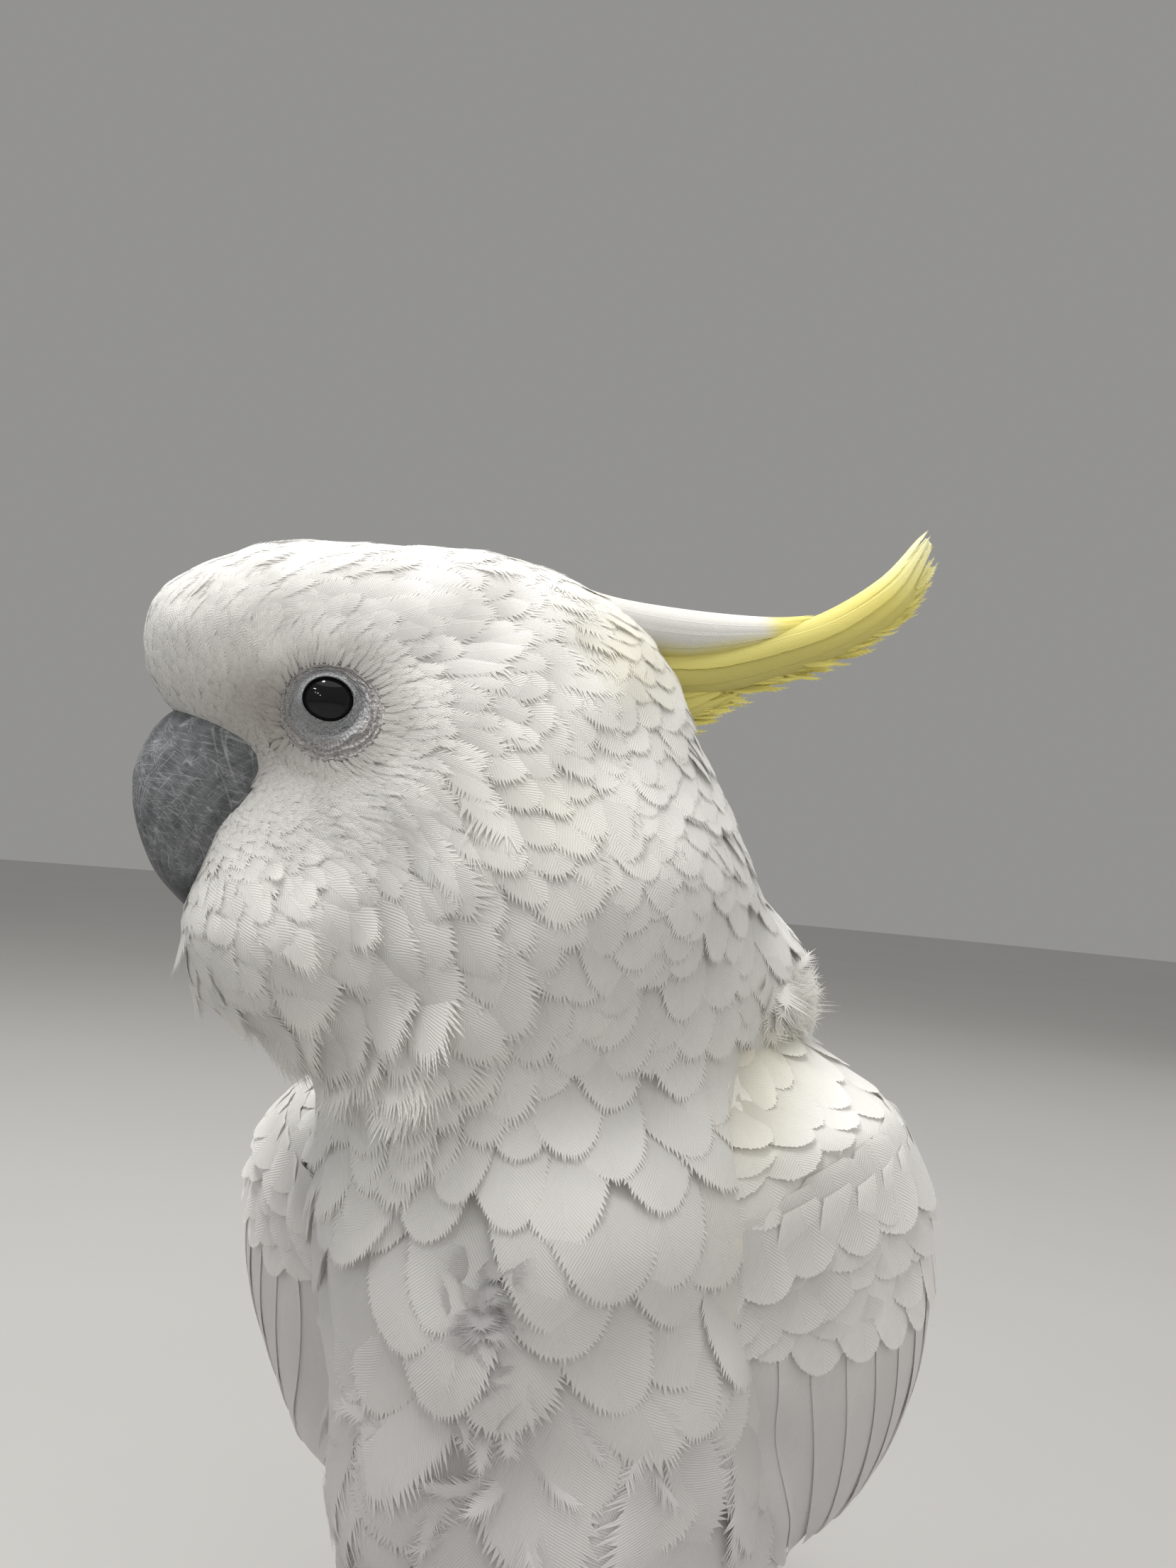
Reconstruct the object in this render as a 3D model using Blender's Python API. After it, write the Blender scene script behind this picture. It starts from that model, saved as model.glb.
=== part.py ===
"""A life-size sulphur-crested cockatoo, standing with its head turned to its right.

The bird stands on the floor and faces -Y, with +Z up and +X on its own left.
Head, neck and trunk are one form, worked out as a smooth union of egg-shaped
lumps and parted by thin level cuts.  The wings are curved shields laid over the
trunk.  Sizes are in metres.
"""

import math

import bmesh
import bpy
import numpy as np
from mathutils import Vector

# ---------------------------------------------------------------- driving sizes
GAP = 0.0004                # clearance between neighbouring pieces
BODY_GAP = 0.0008           # clearance over the body's own facets
HEAD_TURN = math.radians(59)  # the head's turn to the bird's right
EYE_PLAN = np.array([-0.044, -0.051])  # plan position between the two eyes
EYE_HEIGHT = 0.2395
EYE_RADIUS = 0.0062
EYE_SPREAD = 0.0157         # from the head's middle plane to each eye's centre
NECK_BOTTOM = 0.164
NECK_TOP = 0.190
TRUNK_BOTTOM = 0.0405
CROWN_TOP = 0.2758
BLEND = 0.013               # how softly the lumps run together
FOOT_SPREAD = 0.0265        # from the middle of the stance to each foot
FOOT_X, FOOT_Y = 0.004, 0.004  # middle of the stance, under the leaning trunk
TARSUS_RADIUS = 0.0052
PALM_RADIUS = 0.0095
PALM_HEIGHT = 0.0070
TOE_RADIUS = 0.0037
CLAW_LENGTH = 0.0120
BODY_SIDES = 28             # corners round a slice of the body

WHITE = (0.83, 0.82, 0.78)
YELLOW = (0.88, 0.78, 0.22)
HORN = (0.075, 0.080, 0.088)
LEG_GREY = (0.17, 0.17, 0.18)
EYE_BLACK = (0.012, 0.010, 0.010)


# ---------------------------------------------------------------- scene helpers
def clear_scene():
    for obj in list(bpy.data.objects):
        bpy.data.objects.remove(obj)


def new_collection(name):
    made = bpy.data.collections.new(name)
    bpy.context.scene.collection.children.link(made)
    return made


def material(name, colour, roughness):
    made = bpy.data.materials.new(name)
    made.use_nodes = True
    shader = made.node_tree.nodes["Principled BSDF"]
    shader.inputs["Base Color"].default_value = (*colour, 1.0)
    shader.inputs["Roughness"].default_value = roughness
    shader.inputs["Metallic"].default_value = 0.0
    return made


def heading(turn):
    """Forward and left unit vectors in plan, for a turn to the bird's right."""
    forward = np.array([-math.sin(turn), -math.cos(turn)])
    left = np.array([math.cos(turn), -math.sin(turn)])
    return forward, left


def head_point(forward, left, height):
    """A point of the head from its distances ahead of and beside the eyes."""
    ahead, aside = heading(HEAD_TURN)
    plan = EYE_PLAN + forward * ahead + left * aside
    return np.array([plan[0], plan[1], height])


def smooth_path(points, steps):
    """Catmull-Rom curve through a few points, as an array of steps + 1 points."""
    points = np.asarray(points, float)
    ends = np.vstack([2 * points[0] - points[1], points, 2 * points[-1] - points[-2]])
    where = np.linspace(0, len(points) - 1, steps + 1)
    span = np.minimum(where.astype(int), len(points) - 2)
    t = (where - span)[:, None]
    a, b, c, d = (ends[span + k] for k in range(4))
    return 0.5 * (2 * b + (c - a) * t + (2 * a - 5 * b + 4 * c - d) * t**2
                  + (3 * b - 3 * c + d - a) * t**3)


# ---------------------------------------------------------------- body form
def lump(centre, radii, turn=0.0, tilt=0.0):
    """An egg-shaped lump: radii are sideways, fore-and-aft and up; tilt lifts its front."""
    return {"centre": np.asarray(centre, float), "radii": radii, "turn": turn, "tilt": tilt}


def head_lump(forward, left, height, radii, tilt=0.0):
    return lump(head_point(forward, left, height), radii, HEAD_TURN, math.radians(tilt))


TRUNK_LUMPS = [
    lump((0.003, -0.004, 0.098), (0.0485, 0.049, 0.060)),           # belly
    lump((0.000, -0.014, 0.140), (0.0505, 0.046, 0.050)),           # chest
    lump((0.000, 0.018, 0.148), (0.050, 0.040, 0.052)),             # back
    lump((0.002, 0.034, 0.124), (0.037, 0.032, 0.048), 0.0, -0.35),  # lower back
    lump((0.004, 0.040, 0.084), (0.034, 0.038, 0.029), 0.0, -0.5),  # rump
    lump((0.005, 0.030, 0.064), (0.030, 0.040, 0.022)),             # under the tail
]
NECK_LUMPS = [
    lump((-0.012, -0.016, 0.184), (0.044, 0.044, 0.038)),           # neck
    lump((0.014, 0.006, 0.186), (0.036, 0.032, 0.032)),             # nape's foot
]
HEAD_LUMPS = [
    head_lump(-0.025, 0.0, 0.2460, (0.0225, 0.0455, 0.0300)),        # skull
    head_lump(0.0100, 0.0, 0.2505, (0.0163, 0.0262, 0.0205)),        # forehead
    head_lump(-0.031, 0.0100, 0.2210, (0.0195, 0.0325, 0.0265)),     # left cheek
    head_lump(-0.031, -0.0100, 0.2210, (0.0195, 0.0325, 0.0265)),    # right cheek
    head_lump(-0.001, 0.0, 0.1955, (0.0250, 0.0235, 0.0205)),        # puffed chin
    head_lump(-0.046, 0.0, 0.2260, (0.0290, 0.0350, 0.0340)),        # nape
    head_lump(-0.050, 0.0, 0.2030, (0.0390, 0.0430, 0.0320)),        # back of the neck
]
BODY_LUMPS = TRUNK_LUMPS + NECK_LUMPS + HEAD_LUMPS


def lump_distance(points, egg):
    """Signed distance, near the surface, from points to one lump."""
    ahead, aside = heading(egg["turn"])
    offset = points - egg["centre"]
    side = offset[..., :2] @ aside
    fore = offset[..., :2] @ ahead
    up = offset[..., 2]
    cosine, sine = math.cos(egg["tilt"]), math.sin(egg["tilt"])
    fore, up = fore * cosine + up * sine, up * cosine - fore * sine
    local = np.stack([side, fore, up], -1)
    radii = np.array(egg["radii"])
    near = np.linalg.norm(local / radii, axis=-1)
    slope = np.linalg.norm(local / radii**2, axis=-1)
    return near * (near - 1) / np.maximum(slope, 1e-9)


def body_distance(points):
    """Union of the lumps, each joined to the rest by a fillet BLEND wide."""
    whole = lump_distance(points, BODY_LUMPS[0])
    for egg in BODY_LUMPS[1:]:
        other = lump_distance(points, egg)
        near = np.maximum(BLEND - np.abs(whole - other), 0.0) / BLEND
        whole = np.minimum(whole, other) - near**2 * BLEND / 4
    return whole


SPINE = [  # height, then the plan position of the middle of the body's slice
    (0.030, 0.000, 0.028),
    (0.070, 0.000, 0.020),
    (0.110, 0.000, 0.002),
    (0.150, -0.002, -0.001),
    (0.185, -0.008, -0.020),
    (0.205, -0.012, -0.033),
    (0.235, -0.020, -0.037),
    (0.290, -0.031, -0.043),
]


def body_slice(height, sides=BODY_SIDES):
    """Points of one level slice, found by marching outwards from the spine."""
    rows = np.array(SPINE)
    middle = np.array([np.interp(height, rows[:, 0], rows[:, k]) for k in (1, 2)])
    ahead, aside = heading(HEAD_TURN if height > NECK_TOP else 0.0)
    angles = np.arange(sides) * 2 * math.pi / sides
    rays = np.cos(angles)[:, None] * ahead + np.sin(angles)[:, None] * aside

    def reach(radius):
        plan = middle + rays * radius[:, None]
        return np.column_stack([plan, np.full(sides, height)])

    steps = np.linspace(0.0002, 0.130, 120)
    inside = np.stack([body_distance(reach(np.full(sides, r))) < 0 for r in steps])
    last = np.where(inside.all(0), len(steps) - 1, inside.argmin(0))
    low, high = steps[np.maximum(last - 1, 0)], steps[last]
    for _ in range(24):
        half = (low + high) / 2
        within = body_distance(reach(half)) < 0
        low, high = np.where(within, half, low), np.where(within, high, half)
    return reach(low)


def slice_heights(bottom, top, count, ease_bottom=False, ease_top=False):
    """Heights from bottom to top, closer together towards a rounded end."""
    share = np.linspace(0, 1, count)
    if ease_bottom and ease_top:
        share = (1 - np.cos(math.pi * share)) / 2
    elif ease_bottom:
        share = 1 - np.cos(math.pi / 2 * share)
    elif ease_top:
        share = np.sin(math.pi / 2 * share)
    return bottom + (top - bottom) * share


BODY_HEIGHTS = {
    "trunk": slice_heights(TRUNK_BOTTOM, NECK_BOTTOM - GAP / 2, 15, ease_bottom=True),
    "neck": slice_heights(NECK_BOTTOM + GAP / 2, NECK_TOP - GAP / 2, 5),
    "head": slice_heights(NECK_TOP + GAP / 2, CROWN_TOP, 20, ease_top=True),
}


# ---------------------------------------------------------------- mesh builders
def loft(name, rings, finish, collection, grow=0.0):
    """A closed solid through rings of equal, even length, with strips across each end.

    A positive grow moves every corner outwards, for the space the solid needs.
    """
    bm = bmesh.new()
    rows = [[bm.verts.new(Vector(p)) for p in ring] for ring in rings]
    for low, high in zip(rows, rows[1:]):
        for k in range(len(low)):
            after = (k + 1) % len(low)
            bm.faces.new((low[k], low[after], high[after], high[k]))
    for ring in (rows[0], rows[-1]):
        for k in range(len(ring) // 2 - 1):
            bm.faces.new((ring[k], ring[k + 1], ring[-k - 1]))
            bm.faces.new((ring[k + 1], ring[-k - 2], ring[-k - 1]))
    bmesh.ops.recalc_face_normals(bm, faces=bm.faces)
    bm.normal_update()
    moved = [(corner, corner.co + corner.normal * grow) for corner in bm.verts]
    for corner, place in moved:
        corner.co = place
    mesh = bpy.data.meshes.new(name)
    bm.to_mesh(mesh)
    bm.free()
    mesh.materials.append(finish)
    mesh.shade_smooth()
    mesh.set_sharp_from_angle(angle=math.radians(50))
    obj = bpy.data.objects.new(name, mesh)
    collection.objects.link(obj)
    return obj


def ball(name, centre, radius, finish, collection, segments=16):
    bm = bmesh.new()
    bmesh.ops.create_uvsphere(bm, u_segments=segments, v_segments=segments // 2, radius=radius)
    mesh = bpy.data.meshes.new(name)
    bm.to_mesh(mesh)
    bm.free()
    mesh.materials.append(finish)
    mesh.shade_smooth()
    obj = bpy.data.objects.new(name, mesh)
    obj.location = Vector(centre)
    collection.objects.link(obj)
    return obj


def blade_rings(upper, lower, half_widths, sides, side_vector):
    """Oval sections between an upper and a lower edge, with a half-width at each."""
    angles = np.arange(sides) * 2 * math.pi / sides
    rings = []
    for top, bottom, width in zip(upper, lower, half_widths):
        middle, reach = (top + bottom) / 2, (top - bottom) / 2
        rings.append(middle + np.cos(angles)[:, None] * reach
                     + np.sin(angles)[:, None] * width * side_vector)
    return rings


def head_blade(name, upper, lower, widths, steps, sides, finish, collection, grow=0.0):
    """A blade in the head's middle plane; points are (ahead of the eyes, height)."""
    ahead, aside = heading(HEAD_TURN)
    side_vector = np.array([aside[0], aside[1], 0.0])
    top = smooth_path([head_point(f, 0.0, z) for f, z in upper], steps)
    bottom = smooth_path([head_point(f, 0.0, z) for f, z in lower], steps)
    width = smooth_path([[w] for w in widths], steps)[:, 0]
    rings = blade_rings(top, bottom, width, sides, side_vector)
    return loft(name, rings, finish, collection, grow)


def cut(obj, *cutters):
    """Takes the cutters' volume out of the object, and hides them."""
    for cutter in cutters:
        cutter.hide_render = True
        cutter.display_type = "WIRE"
        modifier = obj.modifiers.new("clearance_" + cutter.name, "BOOLEAN")
        modifier.operation = "DIFFERENCE"
        modifier.solver = "EXACT"
        modifier.object = cutter


def body_piece(name, finish, collection):
    """One stretch of the body: the head, the neck or the trunk."""
    return loft(name, [body_slice(z) for z in BODY_HEIGHTS[name]], finish, collection)


def body_room(name, finish, collection):
    """The space a stretch of the body needs, with clearance all round."""
    rings = [body_slice(z) for z in BODY_HEIGHTS[name]]
    return loft(name + "_room", rings, finish, collection, BODY_GAP)


# ---------------------------------------------------------------- the bird's parts
# Bill and crest outlines: distance ahead of the eyes, then height.
UPPER_BILL = {
    "upper": [(0.0150, 0.2420), (0.0290, 0.2362), (0.0345, 0.2270), (0.0345, 0.2170),
              (0.0300, 0.2060), (0.0235, 0.1990), (0.0175, 0.1945)],
    "lower": [(0.0000, 0.2290), (0.0050, 0.2220), (0.0095, 0.2155), (0.0145, 0.2085),
              (0.0180, 0.2030), (0.0188, 0.1985), (0.0165, 0.1948)],
    "widths": [0.0105, 0.0104, 0.0099, 0.0085, 0.0060, 0.0033, 0.0007],
}
LOWER_BILL = {
    "upper": [(-0.0040, 0.2250), (0.0060, 0.2240), (0.0140, 0.2200), (0.0190, 0.2110)],
    "lower": [(-0.0040, 0.2040), (0.0060, 0.2005), (0.0125, 0.2010), (0.0175, 0.2070)],
    "widths": [0.0095, 0.0095, 0.0075, 0.0035],
}
CREST = {  # name: (upper edge, lower edge, half-widths); each fits under the ones before it
    "crest_white": (
        [(-0.024, 0.2745), (-0.036, 0.2750), (-0.054, 0.2700),
         (-0.074, 0.2688), (-0.094, 0.2705), (-0.104, 0.2735)],
        [(-0.030, 0.2600), (-0.040, 0.2580), (-0.056, 0.2575),
         (-0.074, 0.2580), (-0.092, 0.2632), (-0.103, 0.2722)],
        [0.0060, 0.0085, 0.0080, 0.0060, 0.0035, 0.0006]),
    "crest_upper_plume": (
        [(-0.050, 0.2600), (-0.074, 0.2605), (-0.0925, 0.2660), (-0.1055, 0.2735),
         (-0.1200, 0.2840), (-0.1295, 0.2955)],
        [(-0.052, 0.2490), (-0.076, 0.2505), (-0.0970, 0.2565), (-0.1150, 0.2650),
         (-0.1275, 0.2760), (-0.1325, 0.2930)],
        [0.0040, 0.0048, 0.0040, 0.0032, 0.0022, 0.0006]),
    "crest_lower_plume": (
        [(-0.052, 0.2510), (-0.066, 0.2520), (-0.078, 0.2530), (-0.094, 0.2560)],
        [(-0.056, 0.2420), (-0.068, 0.2425), (-0.080, 0.2470), (-0.0945, 0.2548)],
        [0.0035, 0.0038, 0.0026, 0.0006]),
}

LEFT_WING = {  # guide lines from the shoulder to the tip of the long feathers
    "front": [(0.042, -0.036, 0.172), (0.050, -0.032, 0.142), (0.054, -0.018, 0.104),
              (0.051, 0.004, 0.072), (0.041, 0.050, 0.046), (0.020, 0.140, 0.0270)],
    "outer": [(0.050, -0.008, 0.186), (0.0725, -0.002, 0.162), (0.0765, 0.010, 0.124),
              (0.063, 0.042, 0.082), (0.042, 0.090, 0.054), (0.0205, 0.142, 0.0300)],
    "back": [(0.032, 0.024, 0.186), (0.024, 0.053, 0.162), (0.016, 0.075, 0.124),
             (0.010, 0.092, 0.088), (0.006, 0.114, 0.058), (0.0155, 0.143, 0.0320)],
}
WING_ROWS, WING_COLUMNS = 19, 9
WING_CLEARANCE = 0.0032     # between the wing's inner face and the trunk
WING_PARTS = (("coverts", 0, 7), ("secondaries", 7, 13), ("primaries", 13, 19))
WING_LIFT = {"left": 0.003, "right": -0.011}    # the left shoulder is carried higher
WING_SPREAD = {"left": 0.0, "right": 0.011}     # the right wing's front edge hangs looser
WING_BULGE = {"left": 1.0, "right": 0.96}       # and its outer face lies flatter


def wing_surface(side):
    """Outer points of a wing, and its outward normals, on a lengthwise by crosswise grid."""
    mirror = np.array([1.0 if side == "left" else -1.0, 1.0, 1.0])
    front, outer, back = (smooth_path(LEFT_WING[k], WING_ROWS) * mirror
                          for k in ("front", "outer", "back"))
    drop = WING_LIFT[side] * np.clip(1.25 - np.linspace(0, 1.5, WING_ROWS + 1), 0, 1)
    for line in (front, outer, back):
        line[:, 2] += drop
    along = np.linspace(0, 1, WING_ROWS + 1)
    outer[:, 0] *= WING_BULGE[side]
    front[:, 0] += mirror[0] * WING_SPREAD[side] * np.exp(-((along - 0.66) / 0.2)**2)
    across = np.linspace(0, 1, WING_COLUMNS + 1)[None, :, None]
    pull = 2 * outer - (front + back) / 2   # so that the section passes through the outer line
    grid = ((1 - across)**2 * front[:, None] + 2 * across * (1 - across) * pull[:, None]
            + across**2 * back[:, None])
    along = np.gradient(grid, axis=0)
    over = np.gradient(grid, axis=1)
    normal = np.cross(over, along)
    normal /= np.linalg.norm(normal, axis=-1, keepdims=True)
    centre = grid.mean(axis=(0, 1)) * np.array([0.0, 1.0, 1.0])
    outward = ((grid - centre) * normal).sum(-1).mean()
    return grid, normal * np.sign(outward)


def settle(points, clearance):
    """Moves points that lie too near the body outwards, until they clear it."""
    probe = np.eye(3) * 0.0002
    for _ in range(6):
        slope = np.stack([body_distance(points + p) - body_distance(points - p) for p in probe], -1)
        slope /= np.linalg.norm(slope, axis=-1, keepdims=True)
        short = np.maximum(clearance - body_distance(points), 0.0)
        points = points + slope * short[..., None]
    return points


def wing_rings(side):
    """Closed sections: the outer line, then the inner line back again, laid on the trunk."""
    grid, normal = wing_surface(side)
    length = np.linspace(0, 1, WING_ROWS + 1)[:, None]
    across = np.linspace(-1, 1, WING_COLUMNS + 1)[None, :]
    thickness = 0.0012 + (0.0125 * (1 - length)**0.9 + 0.0008) * (1 - across**4)
    grid = settle(grid, WING_CLEARANCE + 0.0014)
    inner = settle(grid - normal * thickness[..., None], WING_CLEARANCE)
    return [np.vstack([outer_row, inner_row[::-1]]) for outer_row, inner_row in zip(grid, inner)]


def make_wing(side, finish, collection):
    """A wing in three stretches with a little clearance between them."""
    rings = wing_rings(side)
    shift = GAP / 2
    for name, first, last in WING_PARTS:
        part = [ring.copy() for ring in rings[first:last + 1]]
        for end, inward in ((0, 1), (-1, -2)):
            step = part[inward] - part[end]
            step /= np.linalg.norm(step, axis=1, keepdims=True)
            part[end] = part[end] + step * shift
        loft(f"{side}_wing_{name}", part, finish, collection)


def make_head(materials, parts, cutters):
    """The head with its eyes set in sockets and the two halves of its bill."""
    head = body_piece("head", materials["feather"], parts)
    for side, sign in (("left", 1), ("right", -1)):
        centre = head_point(0.0, sign * EYE_SPREAD, EYE_HEIGHT)
        ball(f"{side}_eye", centre, EYE_RADIUS, materials["eye"], parts)
        socket = ball(f"{side}_socket", centre, EYE_RADIUS + GAP, materials["feather"], cutters)
        cut(head, socket)
    rooms = []
    for name, shape in (("upper_bill", UPPER_BILL), ("lower_bill", LOWER_BILL)):
        edges = (shape["upper"], shape["lower"], shape["widths"], 12, 12, materials["horn"])
        cut(head_blade(name, *edges, parts), *rooms)
        rooms.append(head_blade(name + "_room", *edges, cutters, grow=GAP))
    cut(head, *rooms)


def make_crest(materials, parts, cutters, head_room):
    """Three bundles of crest plumes, each cut to lie against the ones before it."""
    rooms = [head_room]
    last = list(CREST)[-1]
    for name, edges in CREST.items():
        finish = materials["feather"] if name == "crest_white" else materials["crest"]
        cut(head_blade(name, *edges, 12, 8, finish, parts), *rooms)
        if name != last:
            rooms.insert(0, head_blade(name + "_room", *edges, 12, 8, finish, cutters, grow=GAP))


TAIL = {  # along the tail: distance behind, height, half-width, half-thickness
    "stations": [(0.050, 0.066, 0.016, 0.0060), (0.080, 0.047, 0.023, 0.0050),
                 (0.115, 0.027, 0.029, 0.0038), (0.150, 0.0135, 0.035, 0.0028),
                 (0.190, 0.0052, 0.040, 0.0021), (0.225, 0.0018, 0.043, 0.0018),
                 (0.238, 0.0016, 0.040, 0.0015)],
}


def make_tail(materials, parts, trunk_room):
    """A shallow fan of twelve feathers as one solid, bent to lie on the floor."""
    rings = []
    angles = np.arange(16) * 2 * math.pi / 16
    arch = 0.004
    for back, height, half, thick in smooth_path(TAIL["stations"], 14):
        x = half * np.cos(angles)
        share = np.clip(back / TAIL["stations"][-1][0], 0, 1)
        z = height + thick * np.sin(angles) - arch * (1 - share) * (x / half)**2
        y = back - 0.010 * share**8 * (x / half)**2
        rings.append(np.column_stack([x, np.broadcast_to(y, x.shape), np.maximum(z, 0.0)]))
    tail = loft("tail", rings, materials["feather"], parts)
    cut(tail, trunk_room)


TOES = (  # name, degrees outwards from straight ahead, length
    ("inner_front", -15, 0.031),
    ("outer_front", 33, 0.037),
    ("outer_back", 147, 0.031),
    ("inner_back", -150, 0.025),
)


def toe_path(length, count):
    """A toe's distances from the foot's middle, its heights and radii: arched, then flat."""
    reach = np.linspace(0.0035, length, count)
    share = (reach - reach[0]) / (reach[-1] - reach[0])
    radius = TOE_RADIUS * (1.02 - 0.26 * share)
    return reach, radius * 0.88 + 0.0022 * (1 - share)**2, radius


def tube_rings(reach, height, radius, direction, foot, sides=8):
    """Round sections along a path in the upright plane of a toe, flattened at the floor."""
    angles = np.arange(sides) * 2 * math.pi / sides
    along = np.array([math.sin(direction), -math.cos(direction), 0.0])
    aside = np.array([math.cos(direction), math.sin(direction), 0.0])
    slope = np.gradient(height, reach)
    slope[[0, -1]] = 0.0
    rings = []
    for r, z, size, rise in zip(reach, height, radius, slope):
        up = np.array([0, 0, 1.0]) - rise * along
        up /= np.linalg.norm(up)
        centre = foot + along * r + np.array([0, 0, z])
        ring = centre + size * (np.cos(angles)[:, None] * aside + np.sin(angles)[:, None] * up)
        ring[:, 2] = np.maximum(ring[:, 2], 0.0)
        rings.append(ring)
    return rings


def make_foot(side, sign, materials, parts, cutters):
    foot = np.array([FOOT_X + sign * FOOT_SPREAD, FOOT_Y, 0.0])
    angles = np.arange(12) * 2 * math.pi / 12
    rounds = np.column_stack([np.cos(angles), np.sin(angles), np.zeros(12)])
    shape = [(0.0, 0.0060), (0.0008, 0.0082), (0.0035, PALM_RADIUS), (PALM_HEIGHT, PALM_RADIUS),
             (0.0100, 0.0084), (0.0150, TARSUS_RADIUS), (0.0300, TARSUS_RADIUS * 1.05),
             (0.0400, TARSUS_RADIUS * 1.1)]

    def shank(name, grow, collection):
        rings = [foot + rounds * r + np.array([0, 0, z]) for z, r in shape]
        return loft(name, rings, materials["leg"], collection, grow)

    shank(f"{side}_tarsus", 0.0, parts)
    room = shank(f"{side}_tarsus_room", GAP, cutters)
    for name, degrees, length in TOES:
        direction = math.radians(degrees * sign)
        reach, height, radius = toe_path(length, 5)
        toe = loft(f"{side}_{name}_toe", tube_rings(reach, height, radius, direction, foot),
                   materials["leg"], parts)
        cut(toe, room)
        share = np.linspace(0, 1, 5)
        claw_reach = length + GAP + CLAW_LENGTH * np.sin(share * 1.25) / math.sin(1.25)
        claw_height = height[-1] + 0.0004 + 0.0016 * np.sin(share * math.pi) - 0.0022 * share**2
        claw_radius = TOE_RADIUS * 0.62 * (1 - share)**0.75 + 0.0003
        loft(f"{side}_{name}_claw",
             tube_rings(claw_reach, claw_height, claw_radius, direction, foot, sides=6),
             materials["claw"], parts)
    return room


THIGH = [  # height, plan offset forward, sideways and fore-and-aft half-widths
    (0.0250, 0.000, 0.0080, 0.0095), (0.0265, 0.000, 0.0110, 0.0130),
    (0.0320, -0.001, 0.0145, 0.0175), (0.0450, -0.003, 0.0175, 0.0225),
    (0.0620, -0.006, 0.0180, 0.0250), (0.0800, -0.008, 0.0150, 0.0220),
]


def make_thigh(side, sign, materials, parts, rooms):
    """The feathered upper leg, cut to fit under the trunk and over the bare shank."""
    angles = np.arange(14) * 2 * math.pi / 14
    rings = []
    for z, forward, half, deep in smooth_path(THIGH, 8):
        x = FOOT_X + sign * FOOT_SPREAD * 0.97 + half * np.cos(angles)
        y = FOOT_Y + forward + deep * np.sin(angles)
        rings.append(np.column_stack([x, y, np.full(14, z)]))
    thigh = loft(f"{side}_thigh", rings, materials["feather"], parts)
    cut(thigh, *rooms)


def stand_on_origin(parts, cutters):
    """Moves the whole bird so that the middle of its box's base is the origin."""
    bpy.context.view_layer.update()
    graph = bpy.context.evaluated_depsgraph_get()
    corners = []
    for obj in parts.objects:
        whole = obj.evaluated_get(graph)
        corners += [whole.matrix_world @ Vector(c) for c in whole.bound_box]
    low = Vector(map(min, *corners))
    high = Vector(map(max, *corners))
    shift = Vector((-(low.x + high.x) / 2, -(low.y + high.y) / 2, -low.z))
    for obj in [*parts.objects, *cutters.objects]:
        obj.location = obj.location + shift


def main():
    clear_scene()
    parts = new_collection("cockatoo")
    cutters = new_collection("cutters")
    materials = {
        "feather": material("white_feather", WHITE, 0.75),
        "crest": material("yellow_crest", YELLOW, 0.7),
        "horn": material("bill_horn", HORN, 0.6),
        "leg": material("leg_scale", LEG_GREY, 0.7),
        "claw": material("claw_horn", HORN, 0.45),
        "eye": material("eye", EYE_BLACK, 0.1),
    }
    make_head(materials, parts, cutters)
    body_piece("neck", materials["feather"], parts)
    body_piece("trunk", materials["feather"], parts)
    make_crest(materials, parts, cutters, body_room("head", materials["feather"], cutters))
    trunk_room = body_room("trunk", materials["feather"], cutters)
    make_tail(materials, parts, trunk_room)
    for side, sign in (("left", 1), ("right", -1)):
        make_wing(side, materials["feather"], parts)
        shank_room = make_foot(side, sign, materials, parts, cutters)
        make_thigh(side, sign, materials, parts, (trunk_room, shank_room))
    stand_on_origin(parts, cutters)


main()
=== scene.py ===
"""A life-size sulphur-crested cockatoo, feather by feather, over its solid parts."""
import logging
import math
from collections.abc import Callable
from dataclasses import dataclass, replace
from enum import Enum

import bpy
import numpy as np
from mathutils import Matrix, Vector, kdtree


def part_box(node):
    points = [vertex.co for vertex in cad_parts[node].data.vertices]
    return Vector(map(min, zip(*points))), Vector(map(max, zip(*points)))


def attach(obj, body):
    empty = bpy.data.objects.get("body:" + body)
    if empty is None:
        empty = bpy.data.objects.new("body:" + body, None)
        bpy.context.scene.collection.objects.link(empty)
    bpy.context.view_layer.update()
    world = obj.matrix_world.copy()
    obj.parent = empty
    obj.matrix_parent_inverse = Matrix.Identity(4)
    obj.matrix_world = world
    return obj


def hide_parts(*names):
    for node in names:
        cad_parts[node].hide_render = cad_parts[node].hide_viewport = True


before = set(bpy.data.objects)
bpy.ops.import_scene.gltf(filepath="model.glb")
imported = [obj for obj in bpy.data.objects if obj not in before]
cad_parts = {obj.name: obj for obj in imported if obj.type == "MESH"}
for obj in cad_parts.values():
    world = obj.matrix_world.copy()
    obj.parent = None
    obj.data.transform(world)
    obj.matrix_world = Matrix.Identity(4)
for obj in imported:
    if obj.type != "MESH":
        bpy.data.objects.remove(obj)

Array = np.ndarray
Material = bpy.types.Material
Object = bpy.types.Object
Socket = bpy.types.NodeSocket
Finishes = dict[str, Material]

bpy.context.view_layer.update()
LOG = logging.getLogger("cockatoo")
MM = 0.001
UP = np.array([0.0, 0.0, 1.0])
PROBE = 0.0003              # reach of the probes that find the form's slope
PATCH_HALF = 0.0014         # half the side of a feather's patch on the map OFBake
TETRAHEDRON = np.array([(1, 1, 1), (1, -1, -1), (-1, 1, -1), (-1, -1, 1)], float)


# ---------------------------------------------------------- array maths
def unit(vectors: Array) -> Array:
    """Vectors divided by their own length."""
    return vectors / np.maximum(np.linalg.norm(vectors, axis=-1, keepdims=True), 1e-12)


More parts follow.
